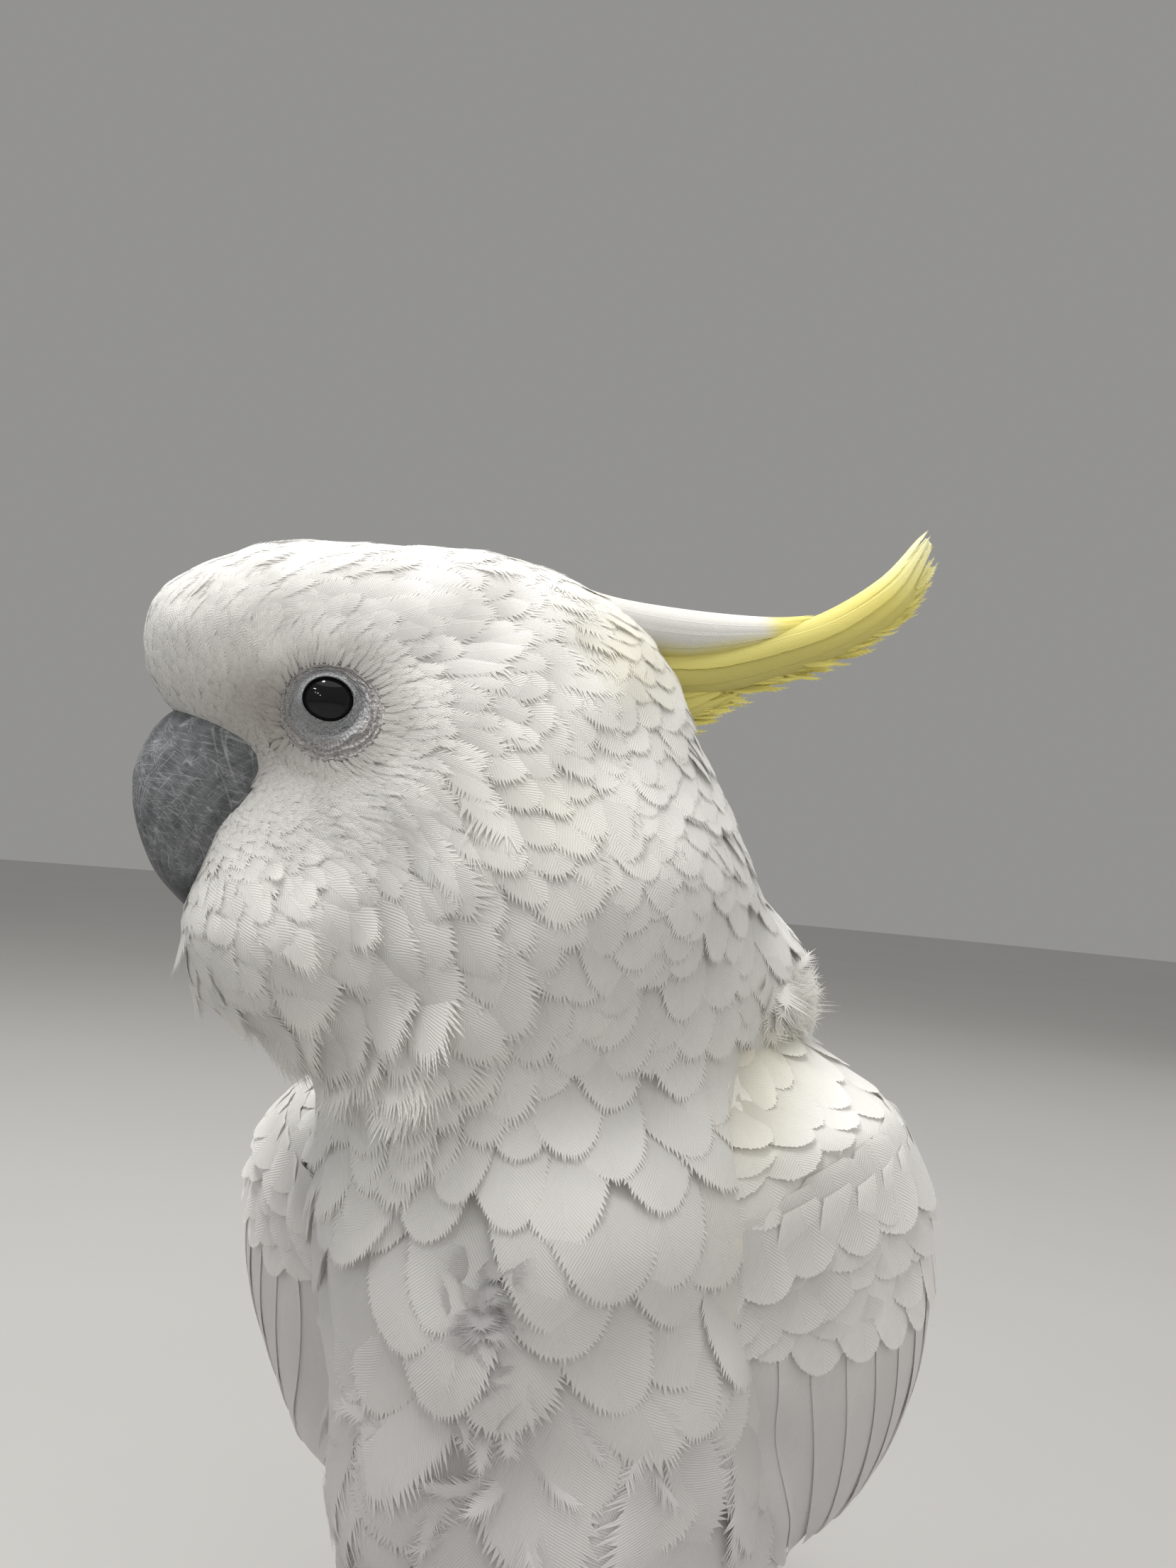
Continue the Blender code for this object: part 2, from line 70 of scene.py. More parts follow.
def ease(low: float, high: float, value: Array) -> Array:
    """Zero below low and one above high, with a smooth S between: 3t^2 - 2t^3."""
    share = np.clip((value - low) / (high - low), 0.0, 1.0)
    return share * share * (3 - 2 * share)


def bell(*parts: Array) -> Array:
    """Round swell, one in the middle: exp(-(the sum of the parts' squares))."""
    return np.exp(-sum(part**2 for part in parts))


def mixed(first: Array, second: Array, share: Array) -> Array:
    """Straight mix of two colours or vectors, with one share for each place."""
    return first * (1 - share[..., None]) + second * share[..., None]


def dot(first: Array, second: Array) -> Array:
    """Scalar product along the last axis, kept as an axis of one."""
    return (first * second).sum(-1, keepdims=True)


def round_turn(count: int) -> Array:
    """Angles of places spread evenly round a circle."""
    return np.arange(count) * 2 * math.pi / count


def ripple(points: Array, size: float, seed: int) -> Array:
    """Smooth noise from -1 to 1: five plane waves about `size` long, of seeded headings.

    Args:
        points: places, in metres, on the last axis.
        size: length of one wave.
        seed: picks the headings and phases.

    Returns:
        One number for each place.
    """
    rng = np.random.default_rng(seed)
    heading = unit(rng.normal(size=(5, 3))) * rng.uniform(0.7, 1.5, (5, 1)) * (2 * math.pi / size)
    return np.sin(points @ heading.T + rng.uniform(0, 6.28, 5)).mean(-1) * 1.6


def curve(points: list | Array, share: Array) -> Array:
    """Catmull-Rom curve through a few points.

    Args:
        points: the points it passes through, evenly spread over the share 0 to 1.
        share: places along it, any shape; past the ends it runs straight on.

    Returns:
        Points, with the shape of share and one more axis.
    """
    points = np.asarray(points, float)
    ends = np.vstack([2 * points[0] - points[1], points, 2 * points[-1] - points[-2]])
    where = np.asarray(share, float) * (len(points) - 1)
    span = np.clip(where.astype(int), 0, len(points) - 2)
    t = (where - span)[..., None]
    a, b, c, d = (ends[span + k] for k in range(4))
    inside = np.clip(t, 0, 1)
    spline = 0.5 * (2 * b + (c - a) * inside + (2 * a - 5 * b + 4 * c - d) * inside**2
                    + (3 * b - 3 * c + d - a) * inside**3)
    return spline + np.where(t > 1, (t - 1) * (d - b) / 2, 0) + np.where(t < 0, t * (c - a) / 2, 0)


def ridges(upper: tuple, lower: tuple, widths: tuple, rows: int) -> tuple[Array, Array, Array]:
    """Reads a long form drawn by an upper line, a lower line and half-widths in mm.

    Args:
        upper: points ahead of the eyes and up, along the upper line.
        lower: the same along the lower line.
        widths: half-widths in millimetres, evenly spread.
        rows: how many places are read.

    Returns:
        The middle line, the reach from it to the upper line, and half-widths in metres.
    """
    share = np.linspace(0, 1, rows)
    top, bottom = curve(upper, share), curve(lower, share)
    return (top + bottom) / 2, (top - bottom) / 2, curve([[w * MM] for w in widths], share)[:, 0]


# ---------------------------------------------------------- the bird's frame
@dataclass(frozen=True)
class HeadFrame:
    """Where the head sits: every face part is placed from the middle between the eyes."""

    eye_plan: tuple[float, float] = (-0.044, -0.051)
    turn: float = math.radians(59)
    eye_height: float = 0.2395
    eye_spread: float = 0.0157
    eye_radius: float = 0.0062

    @property
    def ahead(self) -> Array:
        """Unit vector out of the face."""
        return np.array([-math.sin(self.turn), -math.cos(self.turn), 0.0])

    @property
    def aside(self) -> Array:
        """Unit vector to the head's left."""
        return np.array([math.cos(self.turn), -math.sin(self.turn), 0.0])

    @property
    def middle(self) -> Array:
        """The place on the floor under the middle between the eyes."""
        return np.array([self.eye_plan[0] + SHIFT[0], self.eye_plan[1] + SHIFT[1], 0.0])

    def place(self, forward: Array, left: Array, height: Array) -> Array:
        """World points from distances ahead of and beside the eyes, and height."""
        forward, left, height = (a[..., None] for a in np.broadcast_arrays(forward, left, height))
        return self.middle + forward * self.ahead + left * self.aside + height * UP

    def read(self, points: Array) -> tuple[Array, Array, Array]:
        """Distances ahead of and beside the eyes, and height, of world points."""
        offset = points - self.middle
        return offset @ self.ahead, offset @ self.aside, points[..., 2]


HEAD = HeadFrame()


def find_shift() -> Array:
    """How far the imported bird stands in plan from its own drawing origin, read from an eye's box.

    Returns:
        The move from drawn places to packed ones.
    """
    low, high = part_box("left_eye")
    drawn = np.array([*HEAD.eye_plan, HEAD.eye_height]) + HEAD.aside * HEAD.eye_spread
    return ((np.array(low) + np.array(high)) / 2 - drawn) * np.array([1.0, 1.0, 0.0])


SHIFT = find_shift()
BILL_ROOT = HEAD.place(0.020, 0.0, 0.2240)
RING_MIDDLE = (-0.0006, 0.2372)     # of the bare ring round each eye: ahead and up


# ---------------------------------------------------------- the body's form
@dataclass(frozen=True)
class Lump:
    """An egg-shaped lump: radii are sideways, fore-and-aft and up; tilt lifts its front."""

    centre: tuple[float, float, float]
    radii: tuple[float, float, float]
    tilt: float = 0.0
    on_head: bool = False

    def distance(self, points: Array) -> Array:
        """Near-surface distance: q(q - 1) / |x / r^2|, where q is the length of x / r.

        Args:
            points: world places.

        Returns:
            A distance for each, positive outside.
        """
        turn = HEAD.turn if self.on_head else 0.0
        offset = points - (HEAD.place(*self.centre) if self.on_head else self.centre + SHIFT)
        side = offset[..., :2] @ np.array([math.cos(turn), -math.sin(turn)])
        fore = offset[..., :2] @ np.array([-math.sin(turn), -math.cos(turn)])
        cosine, sine, up = math.cos(self.tilt), math.sin(self.tilt), offset[..., 2]
        local = np.stack([side, fore * cosine + up * sine, up * cosine - fore * sine], -1)
        radii = np.array(self.radii)
        near = np.linalg.norm(local / radii, axis=-1)
        return near * (near - 1) / np.maximum(np.linalg.norm(local / radii**2, axis=-1), 1e-9)


@dataclass(frozen=True)
class BodyForm:
    """Trunk, neck, head and thighs as one form: lumps joined by soft fillets."""

    blend: float = 0.013
    lumps: tuple[Lump, ...] = (
        Lump((0.003, -0.004, 0.098), (0.0485, 0.049, 0.060)),       # belly
        Lump((0.000, -0.014, 0.140), (0.0505, 0.046, 0.050)),       # chest
        Lump((0.000, 0.018, 0.148), (0.050, 0.040, 0.052)),         # back
        Lump((0.002, 0.034, 0.124), (0.037, 0.032, 0.048), -0.35),  # lower back
        Lump((0.004, 0.040, 0.084), (0.034, 0.038, 0.029), -0.5),   # rump
        Lump((0.005, 0.030, 0.064), (0.030, 0.040, 0.022)),         # under the tail
        Lump((-0.012, -0.016, 0.184), (0.044, 0.044, 0.038)),       # neck
        Lump((0.014, 0.006, 0.186), (0.036, 0.032, 0.032)),         # nape's foot
        Lump((-0.025, 0.0, 0.2460), (0.0225, 0.0455, 0.0300), on_head=True),      # skull
        Lump((0.0100, 0.0, 0.2505), (0.0163, 0.0262, 0.0205), on_head=True),      # forehead
        Lump((-0.031, 0.0100, 0.2210), (0.0195, 0.0325, 0.0265), on_head=True),   # left cheek
        Lump((-0.031, -0.0100, 0.2210), (0.0195, 0.0325, 0.0265), on_head=True),  # right cheek
        Lump((-0.001, 0.0, 0.1955), (0.0250, 0.0235, 0.0205), on_head=True),      # puffed chin
        Lump((-0.046, 0.0, 0.2260), (0.0290, 0.0350, 0.0340), on_head=True),      # nape
        Lump((-0.050, 0.0, 0.2030), (0.0390, 0.0430, 0.0320), on_head=True),      # neck's back
        Lump((0.0035, 0.0066, 0.2115), (0.0058, 0.0122, 0.0108), on_head=True),   # left gape
        Lump((0.0035, -0.0066, 0.2115), (0.0058, 0.0122, 0.0108), on_head=True),  # right gape
        Lump((0.0297, -0.001, 0.0590), (0.0180, 0.0245, 0.0335)),   # left thigh
        Lump((-0.0217, -0.001, 0.0590), (0.0180, 0.0245, 0.0335)),  # right thigh
    )

    def distance(self, points: Array) -> Array:
        """Union of the lumps: min(a, b) - near^2 blend / 4, near falling to 0 at blend apart.

        Args:
            points: world places.

        Returns:
            A distance for each, positive outside.
        """
        whole = self.lumps[0].distance(points)
        for lump in self.lumps[1:]:
            other = lump.distance(points)
            near = np.maximum(self.blend - np.abs(whole - other), 0.0) / self.blend
            whole = np.minimum(whole, other) - near**2 * self.blend / 4
        return whole - self.billow(points)

    def billow(self, points: Array) -> Array:
        """Soft swells of the coat: small ones on the head, broad ones over the body.

        Args:
            points: world places.

        Returns:
            How far each swells out.
        """
        bill = np.linalg.norm(points - BILL_ROOT, axis=-1)
        body = ease(0.060, 0.105, bill)
        head = ease(0.018, 0.034, bill) * (1 - body)
        return 0.00050 * head * ripple(points, 0.015, 21) + 0.0012 * body * ripple(points, 0.034, 24)

    def slope(self, points: Array) -> Array:
        """Outward unit normal, from four probes at the corners of a tiny tetrahedron."""
        return unit(sum(c * self.distance(points + c * PROBE)[..., None] for c in TETRAHEDRON))

    def settle(self, points: Array, level: Array | float, turns: int = 2) -> Array:
        """Points slid along the normal until their distance is level.

        Args:
            points: places near the surface.
            level: the distance wanted, out of the surface where positive.
            turns: how many Newton steps are taken.

        Returns:
            The moved points.
        """
        for _ in range(turns):
            gap = (level - self.distance(points))[..., None]
            points = points + self.slope(points) * gap
        return points

    def clear(self, points: Array, room: Array | float) -> Array:
        """Pushes points outwards until they keep a clearance over the surface.

        Args:
            points: world places.
            room: the clearance.

        Returns:
            The moved points.
        """
        for _ in range(5):
            short = np.maximum(room - self.distance(points), 0.0)[..., None]
            points = points + self.slope(points) * short
        return points


FORM = BodyForm()


# ---------------------------------------------------------- regions of the coat
@dataclass(frozen=True)
class Place:
    """What the coat's rules need to know of each point on the body."""

    points: Array
    ahead: Array
    aside: Array
    height: Array
    bill: Array                 # distance from the bill's root
    eye: Array                  # distance from the nearer eye, one at its bare ring's edge
    head: Array                 # one on the head, zero on the body

    @staticmethod
    def of(points: Array) -> "Place":
        """Works out the readings of some points.

        Args:
            points: world places.

        Returns:
            Their readings.
        """
        ahead, aside, height = HEAD.read(points)
        bill = np.linalg.norm(points - BILL_ROOT, axis=-1)
        ring = np.hypot((ahead - RING_MIDDLE[0]) / 0.0098, (height - RING_MIDDLE[1]) / 0.0093)
        eye = np.where(np.abs(aside) > 0.008, ring, 9.0)
        return Place(points, ahead, aside, height, bill, eye, 1 - ease(0.056, 0.096, bill))

    @property
    def body(self) -> Array:
        """One on the body, zero on the head."""
        return 1 - self.head


@dataclass(frozen=True)
class CoatPlan:
    """How long, wide, deep and loose the feathers are over the body."""

    def front(self, place: Place) -> Array:
        """One on the breast and belly, falling to zero on the back."""
        spot = place.points - SHIFT
        return 1 - ease(-0.010, 0.030, spot[..., 1] + 0.1 * np.abs(spot[..., 0]))

    def crown(self, place: Place) -> Array:
        """One on the forehead and crown above the eyes, zero on the cheeks."""
        return ease(0.2440, 0.2560, place.height) * place.head

    def chin(self, place: Place) -> Array:
        """One on the puffed chin and lower cheeks, zero elsewhere."""
        return (1 - ease(0.194, 0.216, place.height)) * (1 - ease(0.052, 0.078, place.bill))

    def ears(self, place: Place) -> Array:
        """One on the hair-like coat behind and below the eyes, zero elsewhere."""
        ring = ease(0.024, 0.034, place.bill) * (1 - ease(0.047, 0.060, place.bill))
        return ring * ease(0.207, 0.216, place.height) * (1 - self.crown(place)) * place.head

    def belly(self, place: Place, low: float, high: float) -> Array:
        """One on the body below a height, zero above another."""
        return (1 - ease(low, high, place.height)) * place.body

    def wild(self, place: Place) -> Array:
        """One on the loose belly, zero above the breast and on the back."""
        return self.belly(place, 0.112, 0.152) * self.front(place)

    def flank(self, place: Place) -> Array:
        """One along the front edge of each folded wing, zero a finger's breadth away."""
        edge = np.concatenate([wing.front_line(14) for wing in WINGS])
        return bell(np.min([np.linalg.norm(place.points - SHIFT - p, axis=-1) for p in edge], 0) / 0.010)

    def length(self, place: Place) -> Array:
        """Feather length, by distance from the bill on the head and by height on the body.

        Args:
            place: readings of some places.

        Returns:
            Metres.
        """
        face = np.interp(place.bill, [0.008, 0.018, 0.028, 0.042, 0.060, 0.085],
                         [2.6, 4.0, 6.5, 10.0, 13.0, 14.0])
        face = face * (0.45 + 0.55 * ease(1.0, 2.4, place.eye))
        face = face + 8.5 * self.chin(place) + 1.0 * self.crown(place)
        trunk = np.interp(place.height, [0.03, 0.055, 0.085, 0.125, 0.165, 0.195, 0.23],
                          [13.0, 24.0, 32.0, 31.0, 26.0, 19.0, 12.0])
        back = np.interp(place.height, [0.04, 0.075, 0.13, 0.17, 0.20, 0.24],
                         [30.0, 27.0, 22.0, 17.0, 12.0, 9.5])
        front = self.front(place)
        return MM * (place.head * face + place.body * (front * trunk + (1 - front) * back))

    def width(self, place: Place) -> Array:
        """Feather width: a share of its length, narrow at the ears, the crown and the belly.

        Args:
            place: readings of some places.

        Returns:
            Metres.
        """
        share = 0.50 + 0.20 * ease(0.03, 0.05, place.bill) + 0.03 * place.body
        share = share + 0.02 * self.chin(place) - 0.14 * self.crown(place)
        share = share - 0.34 * self.ears(place)
        return self.length(place) * (share - 0.22 * self.belly(place, 0.075, 0.110))

    def spacing(self, place: Place) -> Array:
        """Distance between neighbouring roots: a share of the length, with a least value.

        Args:
            place: readings of some places.

        Returns:
            Metres.
        """
        back = (1 - self.front(place)) * place.body
        share = 0.20 + 0.09 * ease(0.028, 0.05, place.bill) - 0.005 * place.body
        share = (share + 0.01 * back - 0.055 * self.belly(place, 0.075, 0.115)
                 - 0.04 * (self.crown(place) + self.chin(place)))
        share = share - 0.085 * self.ears(place)
        return np.maximum(self.length(place) * share, 0.62 * MM)

    def depth(self, place: Place) -> Array:
        """How deep the skin lies under the coat in metres."""
        deep = 3.7 * self.front(place) * (1 - 0.5 * ease(0.175, 0.200, place.height))
        return MM * np.maximum((0.5 + deep) * place.body + 0.8 + 1.6 * self.chin(place) - 0.2, 0.8)

    def lift(self, place: Place) -> Array:
        """How far the tips stand above the roots' own level, most on chin, belly and flanks.

        Args:
            place: readings of some places.

        Returns:
            Metres.
        """
        share = (0.012 + 0.052 * ease(0.034, 0.060, place.bill) + 0.09 * self.chin(place)
                 + 0.03 * self.belly(place, 0.070, 0.115) - 0.05 * self.crown(place)
                 - 0.035 * self.ears(place) - 0.030 * (1 - self.front(place)) * place.body
                 - 0.045 * ease(0.024, 0.048, -place.ahead) * place.head
                 - 0.022 * (1 - ease(0.150, 0.180, place.height)))
        return self.length(place) * share + 2.2 * MM * self.flank(place)


PLAN = CoatPlan()


def lie(points: Array, normals: Array) -> Array:
    """Heading of the feathers: away from bill and eye over the head, then down the body.

    Args:
        points: places on the form.
        normals: outward unit normals there.

    Returns:
        Unit vectors along the surface, from root to tip.
    """
    place = Place.of(points)
    crown = ease(0.246, 0.262, place.height)
    back = -HEAD.ahead + 0.25 * UP
    spread = mixed(unit(points - BILL_ROOT), back, 0.55 * crown)
    spread = spread - 0.45 * UP * (ease(0.030, 0.060, place.bill) * (1 - crown))[..., None]
    eye = HEAD.place(RING_MIDDLE[0], np.sign(place.aside) * 0.021, RING_MIDDLE[1])
    spread = spread + unit(points - eye) * 1.5 * bell((place.eye - 1.0) / 0.5)[..., None]
    x, y, z = np.moveaxis(points - SHIFT, -1, 0)
    outward = np.tanh(x / 0.02) * (1 - ease(0.02, 0.05, y))
    rump = ease(0.11, 0.06, z) * ease(0.0, 0.03, y)
    down = np.stack([0.16 * outward, 0.20 + 0.5 * rump, -np.ones_like(outward)], -1)
    heading = mixed(unit(down), unit(spread), place.head)
    return unit(heading - normals * dot(heading, normals))


def markings(points: Array) -> Array:
    """Colour of skin and coat by place: white, darker and pinker low on the body as painted shade, with the
    yellow and grey tints.

    Args:
        points: places on the body.

    Returns:
        Linear red, green and blue.
    """
    place = Place.of(points)
    ahead, height = place.ahead, place.height
    yellow = np.array([0.80, 0.74, 0.44])
    lore = np.array([0.50, 0.465, 0.43])
    # painted shade: below the breast the white turns darker and pinker, as if the lower body lay in shade
    white, painted_low_shade = np.array([0.800, 0.792, 0.765]), np.array([0.760, 0.738, 0.735])
    colour = mixed(white, painted_low_shade, 1 - ease(0.085, 0.170, height))
    for middle, size, amount in (((0.040, -0.016, 0.181), 0.012, 0.34),
                                 ((0.042, -0.026, 0.164), 0.010, 0.26)):
        gap = np.linalg.norm(points - SHIFT - np.array(middle), axis=-1) / size
        colour = mixed(colour, yellow, amount * bell(gap))
    ear = 0.10 * bell((ahead + 0.036) / 0.013, (height - 0.229) / 0.010) * (np.abs(place.aside) > 0.008)
    colour = mixed(colour, yellow, ear)
    crest = 0.28 * bell((ahead + 0.052) / 0.016, (height - 0.262) / 0.010)
    colour = mixed(colour, yellow, crest)
    near = 0.80 * bell((ahead - 0.013) / 0.009, (height - 0.236) / 0.008) * place.head
    return mixed(colour, lore, near + 0.35 * bell((place.eye - 1.0) / 0.22))


# ---------------------------------------------------------- shader graphs
class Value:
    """A number socket that takes part in Python sums, adding Math nodes as it goes."""

    def __init__(self, graph: "Graph", socket: Socket) -> None:
        """Keeps the graph and the socket that carries the number."""
        self.graph = graph
        self.socket = socket

    def _with(self, operation: str, other: "Value | float | None" = None, swapped: bool = False) -> "Value":
        """Adds one Math node.

        Args:
            operation: the Math node's operation.
            other: the second number, if the operation takes one.
            swapped: whether the other number comes first.

        Returns:
            The result as a new value.
        """
        terms = [self] if other is None else [other, self] if swapped else [self, other]
        made = self.graph.node("ShaderNodeMath", {"operation": operation}, dict(enumerate(terms)))
        return Value(self.graph, made.outputs[0])

    def __add__(self, other: "Value | float") -> "Value":
        """Sum."""
        return self._with("ADD", other)

    def __sub__(self, other: "Value | float") -> "Value":
        """Difference."""
        return self._with("SUBTRACT", other)

    def __rsub__(self, other: float) -> "Value":
        """Difference from a plain number."""
        return self._with("SUBTRACT", other, swapped=True)

    def __mul__(self, other: "Value | float") -> "Value":
        """Product."""
        return self._with("MULTIPLY", other)

    __radd__ = __add__
    __rmul__ = __mul__

    def __truediv__(self, other: "Value | float") -> "Value":
        """Quotient."""
        return self._with("DIVIDE", other)

    def __abs__(self) -> "Value":
        """Size without sign."""
        return self._with("ABSOLUTE")

    def sine(self) -> "Value":
        """Sine of the value in radians."""
        return self._with("SINE")

    def clamped(self) -> "Value":
        """The value held between nought and one."""
        return self._with("MAXIMUM", 0.0)._with("MINIMUM", 1.0)

    def step(self, low: float, high: float) -> "Value":
        """Nought below low, one above high, straight between."""
        return ((self - low) / (high - low)).clamped()


class Graph:
    """The nodes of one material, all made through one method."""

    def __init__(self, name: str) -> None:
        """Starts a material with its Principled shader.

        Args:
            name: the material's name.
        """
        self.material = bpy.data.materials.new(name)
        self.material.use_nodes = True
        self.tree = self.material.node_tree
        self.shader = self.tree.nodes["Principled BSDF"]

    def node(self, kind: str, settings: dict | None = None, inputs: dict | None = None) -> bpy.types.Node:
        """Makes any node.

        Args:
            kind: the node's type.
            settings: its properties, set first; "stops" gives a ramp's places and colours.
            inputs: numbers, vectors, values or sockets by socket name or index.

        Returns:
            The node.
        """
        made = self.tree.nodes.new(kind)
        settings = dict(settings or {})
        for number, (where, colour) in enumerate(settings.pop("stops", ())):
            elements = made.color_ramp.elements
            element = elements[number] if number < len(elements) else elements.new(where)
            element.position = where
            element.color = (*colour, 1.0)
        for key, value in settings.items():
            setattr(made, key, value)
        for key, value in (inputs or {}).items():
            self.plug(made.inputs[key], value)
        return made

    def plug(self, socket: Socket, value: object) -> None:
        """Links a value or socket into a socket, or sets its constant.

        Args:
            socket: the socket that takes it.
            value: a value, a socket, or a constant.
        """
        value = value.socket if isinstance(value, Value) else value
        if isinstance(value, Socket):
            self.tree.links.new(value, socket)
        else:
            socket.default_value = value

    def place(self) -> Socket:
        """Object coordinates."""
        return self.node("ShaderNodeTexCoord").outputs["Object"]

    def tint(self) -> Socket:
        """The colour kept at the piece's corners."""
        return self.node("ShaderNodeAttribute", {"attribute_name": "Tint"}).outputs["Color"]

    def uv(self, name: str) -> Socket:
        """A UV map of the piece."""
        return self.node("ShaderNodeUVMap", {"uv_map": name}).outputs[0]

    def split(self, vector: Socket) -> tuple[Value, Value, Value]:
        """The three numbers of a vector."""
        made = self.node("ShaderNodeSeparateXYZ", None, {0: vector})
        return tuple(Value(self, made.outputs[k]) for k in range(3))

    def stretched(self, vector: Socket, scale: tuple) -> Socket:
        """A vector multiplied by three constants."""
        inputs = {0: vector, 1: scale}
        return self.node("ShaderNodeVectorMath", {"operation": "MULTIPLY"}, inputs).outputs[0]

    def noise(self, vector: Socket, scale: float, detail: float = 3.0, rough: float = 0.55,
              bend: float = 0.0) -> Value:
        """Noise texture factor; bend distorts it."""
        inputs = {"Vector": vector, "Scale": scale, "Detail": detail, "Roughness": rough, "Distortion": bend}
        return Value(self, self.node("ShaderNodeTexNoise", None, inputs).outputs[0])

    def cells(self, vector: Socket, scale: float, feature: str = "F1") -> Value:
        """Voronoi distance."""
        made = self.node("ShaderNodeTexVoronoi", {"feature": feature}, {"Vector": vector, "Scale": scale})
        return Value(self, made.outputs["Distance"])

    def mix(self, factor: Value | float, first: object, second: object) -> Socket:
        """Mix of two colours."""
        inputs = {0: factor, 6: self.colour(first), 7: self.colour(second)}
        return self.node("ShaderNodeMix", {"data_type": "RGBA", "clamp_factor": True}, inputs).outputs[2]

    def colour(self, value: object) -> object:
        """A colour as a socket takes it: three numbers get an alpha of one."""
        return (*value, 1.0) if isinstance(value, tuple) and len(value) == 3 else value

    def bump(self, height: Value, strength: float, distance: float) -> None:
        """Bump into the shader's Normal."""
        inputs = {"Height": height, "Strength": strength, "Distance": distance}
        self.plug(self.shader.inputs["Normal"], self.node("ShaderNodeBump", None, inputs).outputs[0])

    def glow_through(self, colour: object, share: float) -> None:
        """Mixes a translucent shader with the main one, for a thin web.

        Args:
            colour: the web's colour.
            share: the share of light that passes through.
        """
        web = self.node("ShaderNodeBsdfTranslucent", None, {"Color": colour}).outputs[0]
        both = self.node("ShaderNodeMixShader", None, {0: share, 1: self.shader.outputs[0], 2: web})
        self.plug(self.tree.nodes["Material Output"].inputs["Surface"], both.outputs[0])

    def finish(self, colour: object, rough: Value | float, gloss: float, **constants: float) -> Material:
        """Sets the shader's colour, roughness and constants.

        Args:
            colour: base colour.
            rough: roughness.
            gloss: specular level.
            constants: other sockets' numbers, with _ for the spaces in their names.

        Returns:
            The material.
        """
        named = {key.replace("_", " "): value for key, value in constants.items()}
        named |= {"Base Color": self.colour(colour), "Roughness": rough, "Specular IOR Level": gloss}
        for key, value in named.items():
            self.plug(self.shader.inputs[key], value)
        return self.material


# ---------------------------------------------------------- finishes
@dataclass(frozen=True)
class FeatherFinish:
    """Vanes: tinted web with fine slanting barbs either side of a shaft."""

    name: str
    pitch: float                # between the barbs, mm
    slant: float                # how far barbs run tipwards for each mm outwards
    relief: float
    # shade: strength of the painted shade in the grooves between the barbs
    shade: float
    shaft: float                # half-width of the shaft, mm
    rough: float = 0.62
    through: float = 0.35       # share of light that passes through the web

    def make(self) -> Material:
        """Height is sin(2 pi (y - slant |x|) / pitch), worn by noise; colour is the Tint, darkened by painted
        shade in the grooves between the barbs.

        Returns:
            The material.
        """
        g = Graph(self.name)
        vane = g.uv("Vane")
        x, y, _ = g.split(vane)
        stretch = g.noise(g.stretched(vane, (260.0, 90.0, 1.0)), 1.0, 2.0)
        slanted = y * 1000.0 - abs(x) * (1000.0 * self.slant) + stretch * 1.4
        wave = (slanted * (2 * math.pi / self.pitch)).sine()
        broken = g.noise(g.stretched(vane, (900.0, 500.0, 1.0)), 1.0, 2.0)
        shaft = 1.0 - (abs(x) * 1000.0).step(self.shaft * 0.4, self.shaft)
        height = wave * (0.35 + broken * 0.5) + shaft * 1.5 + stretch * 1.2
        # painted shade: darkest where the barbs' wave is lowest, in the grooves between them
        dark = (0.5 - wave * 0.5) * self.shade * (0.3 + broken * 1.4)
        colour = g.mix(dark, g.tint(), (0.42, 0.39, 0.36))
        g.bump(height, self.relief, 0.00016)
        g.glow_through(colour, self.through)
        return g.finish(colour, self.rough, 0.28, Sheen_Weight=0.25, Sheen_Roughness=0.5)


@dataclass(frozen=True)
class SkinFinish:
    """Skin under the coat: the coat's own colours, with a fine downy grain."""

    name: str = "down_skin"

    def make(self) -> Material:
        """Colour is the Tint, dulled by noise; height is noise of two sizes.

        Returns:
            The material.
        """
        g = Graph(self.name)
        place = g.place()
        grain = g.noise(place, 900.0, 4.0)
        broad = g.noise(place, 120.0, 3.0)
        g.bump(grain + broad, 0.5, 0.0004)
        return g.finish(g.mix(grain * 0.25 + broad * 0.15, g.tint(), (0.45, 0.43, 0.42)), 0.8, 0.2)


@dataclass(frozen=True)
class LidFinish:
    """Bare skin round the eye: pale blue-grey, warmer outwards, finely creased."""

    name: str = "eyelid_skin"

    def make(self) -> Material:
        """The map runs across the ring (x) and round it (y); creases run round.

        Returns:
            The material.
        """
        g = Graph(self.name)
        across, around, _ = g.split(g.uv("Ring"))
        place = g.place()
        tone = g.node("ShaderNodeValToRGB", {"stops": [
            (0.0, (0.13, 0.14, 0.15)), (0.07, (0.39, 0.41, 0.42)), (0.34, (0.43, 0.445, 0.45)),
            (0.60, (0.42, 0.40, 0.385)), (1.0, (0.55, 0.52, 0.49))]}, {0: across}).outputs[0]
        grain = g.noise(place, 1700.0, 3.0)
        broad = g.noise(place, 420.0, 2.0)
        pores = g.cells(place, 1150.0)
        crease = (across * 60.0 + broad * 26.0 + grain * 3.0).sine()
        fine = (around * 520.0 + grain * 8.0).sine()
        # partly painted shade in the troughs of the creases, partly tone that varies at random
        dark = ((crease * -0.5 + 0.3) * 0.45 + broad * 0.35 + grain * 0.3).clamped()
        g.bump(crease * 0.7 + fine * 0.3 + pores * 2.4 + grain * 2.0, 0.9, 0.00026)
        return g.finish(g.mix(dark * 0.75, tone, (0.30, 0.29, 0.30)), 0.52 + grain * 0.25, 0.3)


@dataclass(frozen=True)
class EyeFinish:
    """Wet, nearly black eye."""

    name: str = "dark_eye"

    def make(self) -> Material:
        """A dark brown iris hardly parted from the pupil.

        Returns:
            The material.
        """
        g = Graph(self.name)
        dark = g.mix(g.noise(g.place(), 800.0, 2.0), (0.003, 0.003, 0.004), (0.008, 0.007, 0.008))
        return g.finish(dark, 0.05, 0.30)


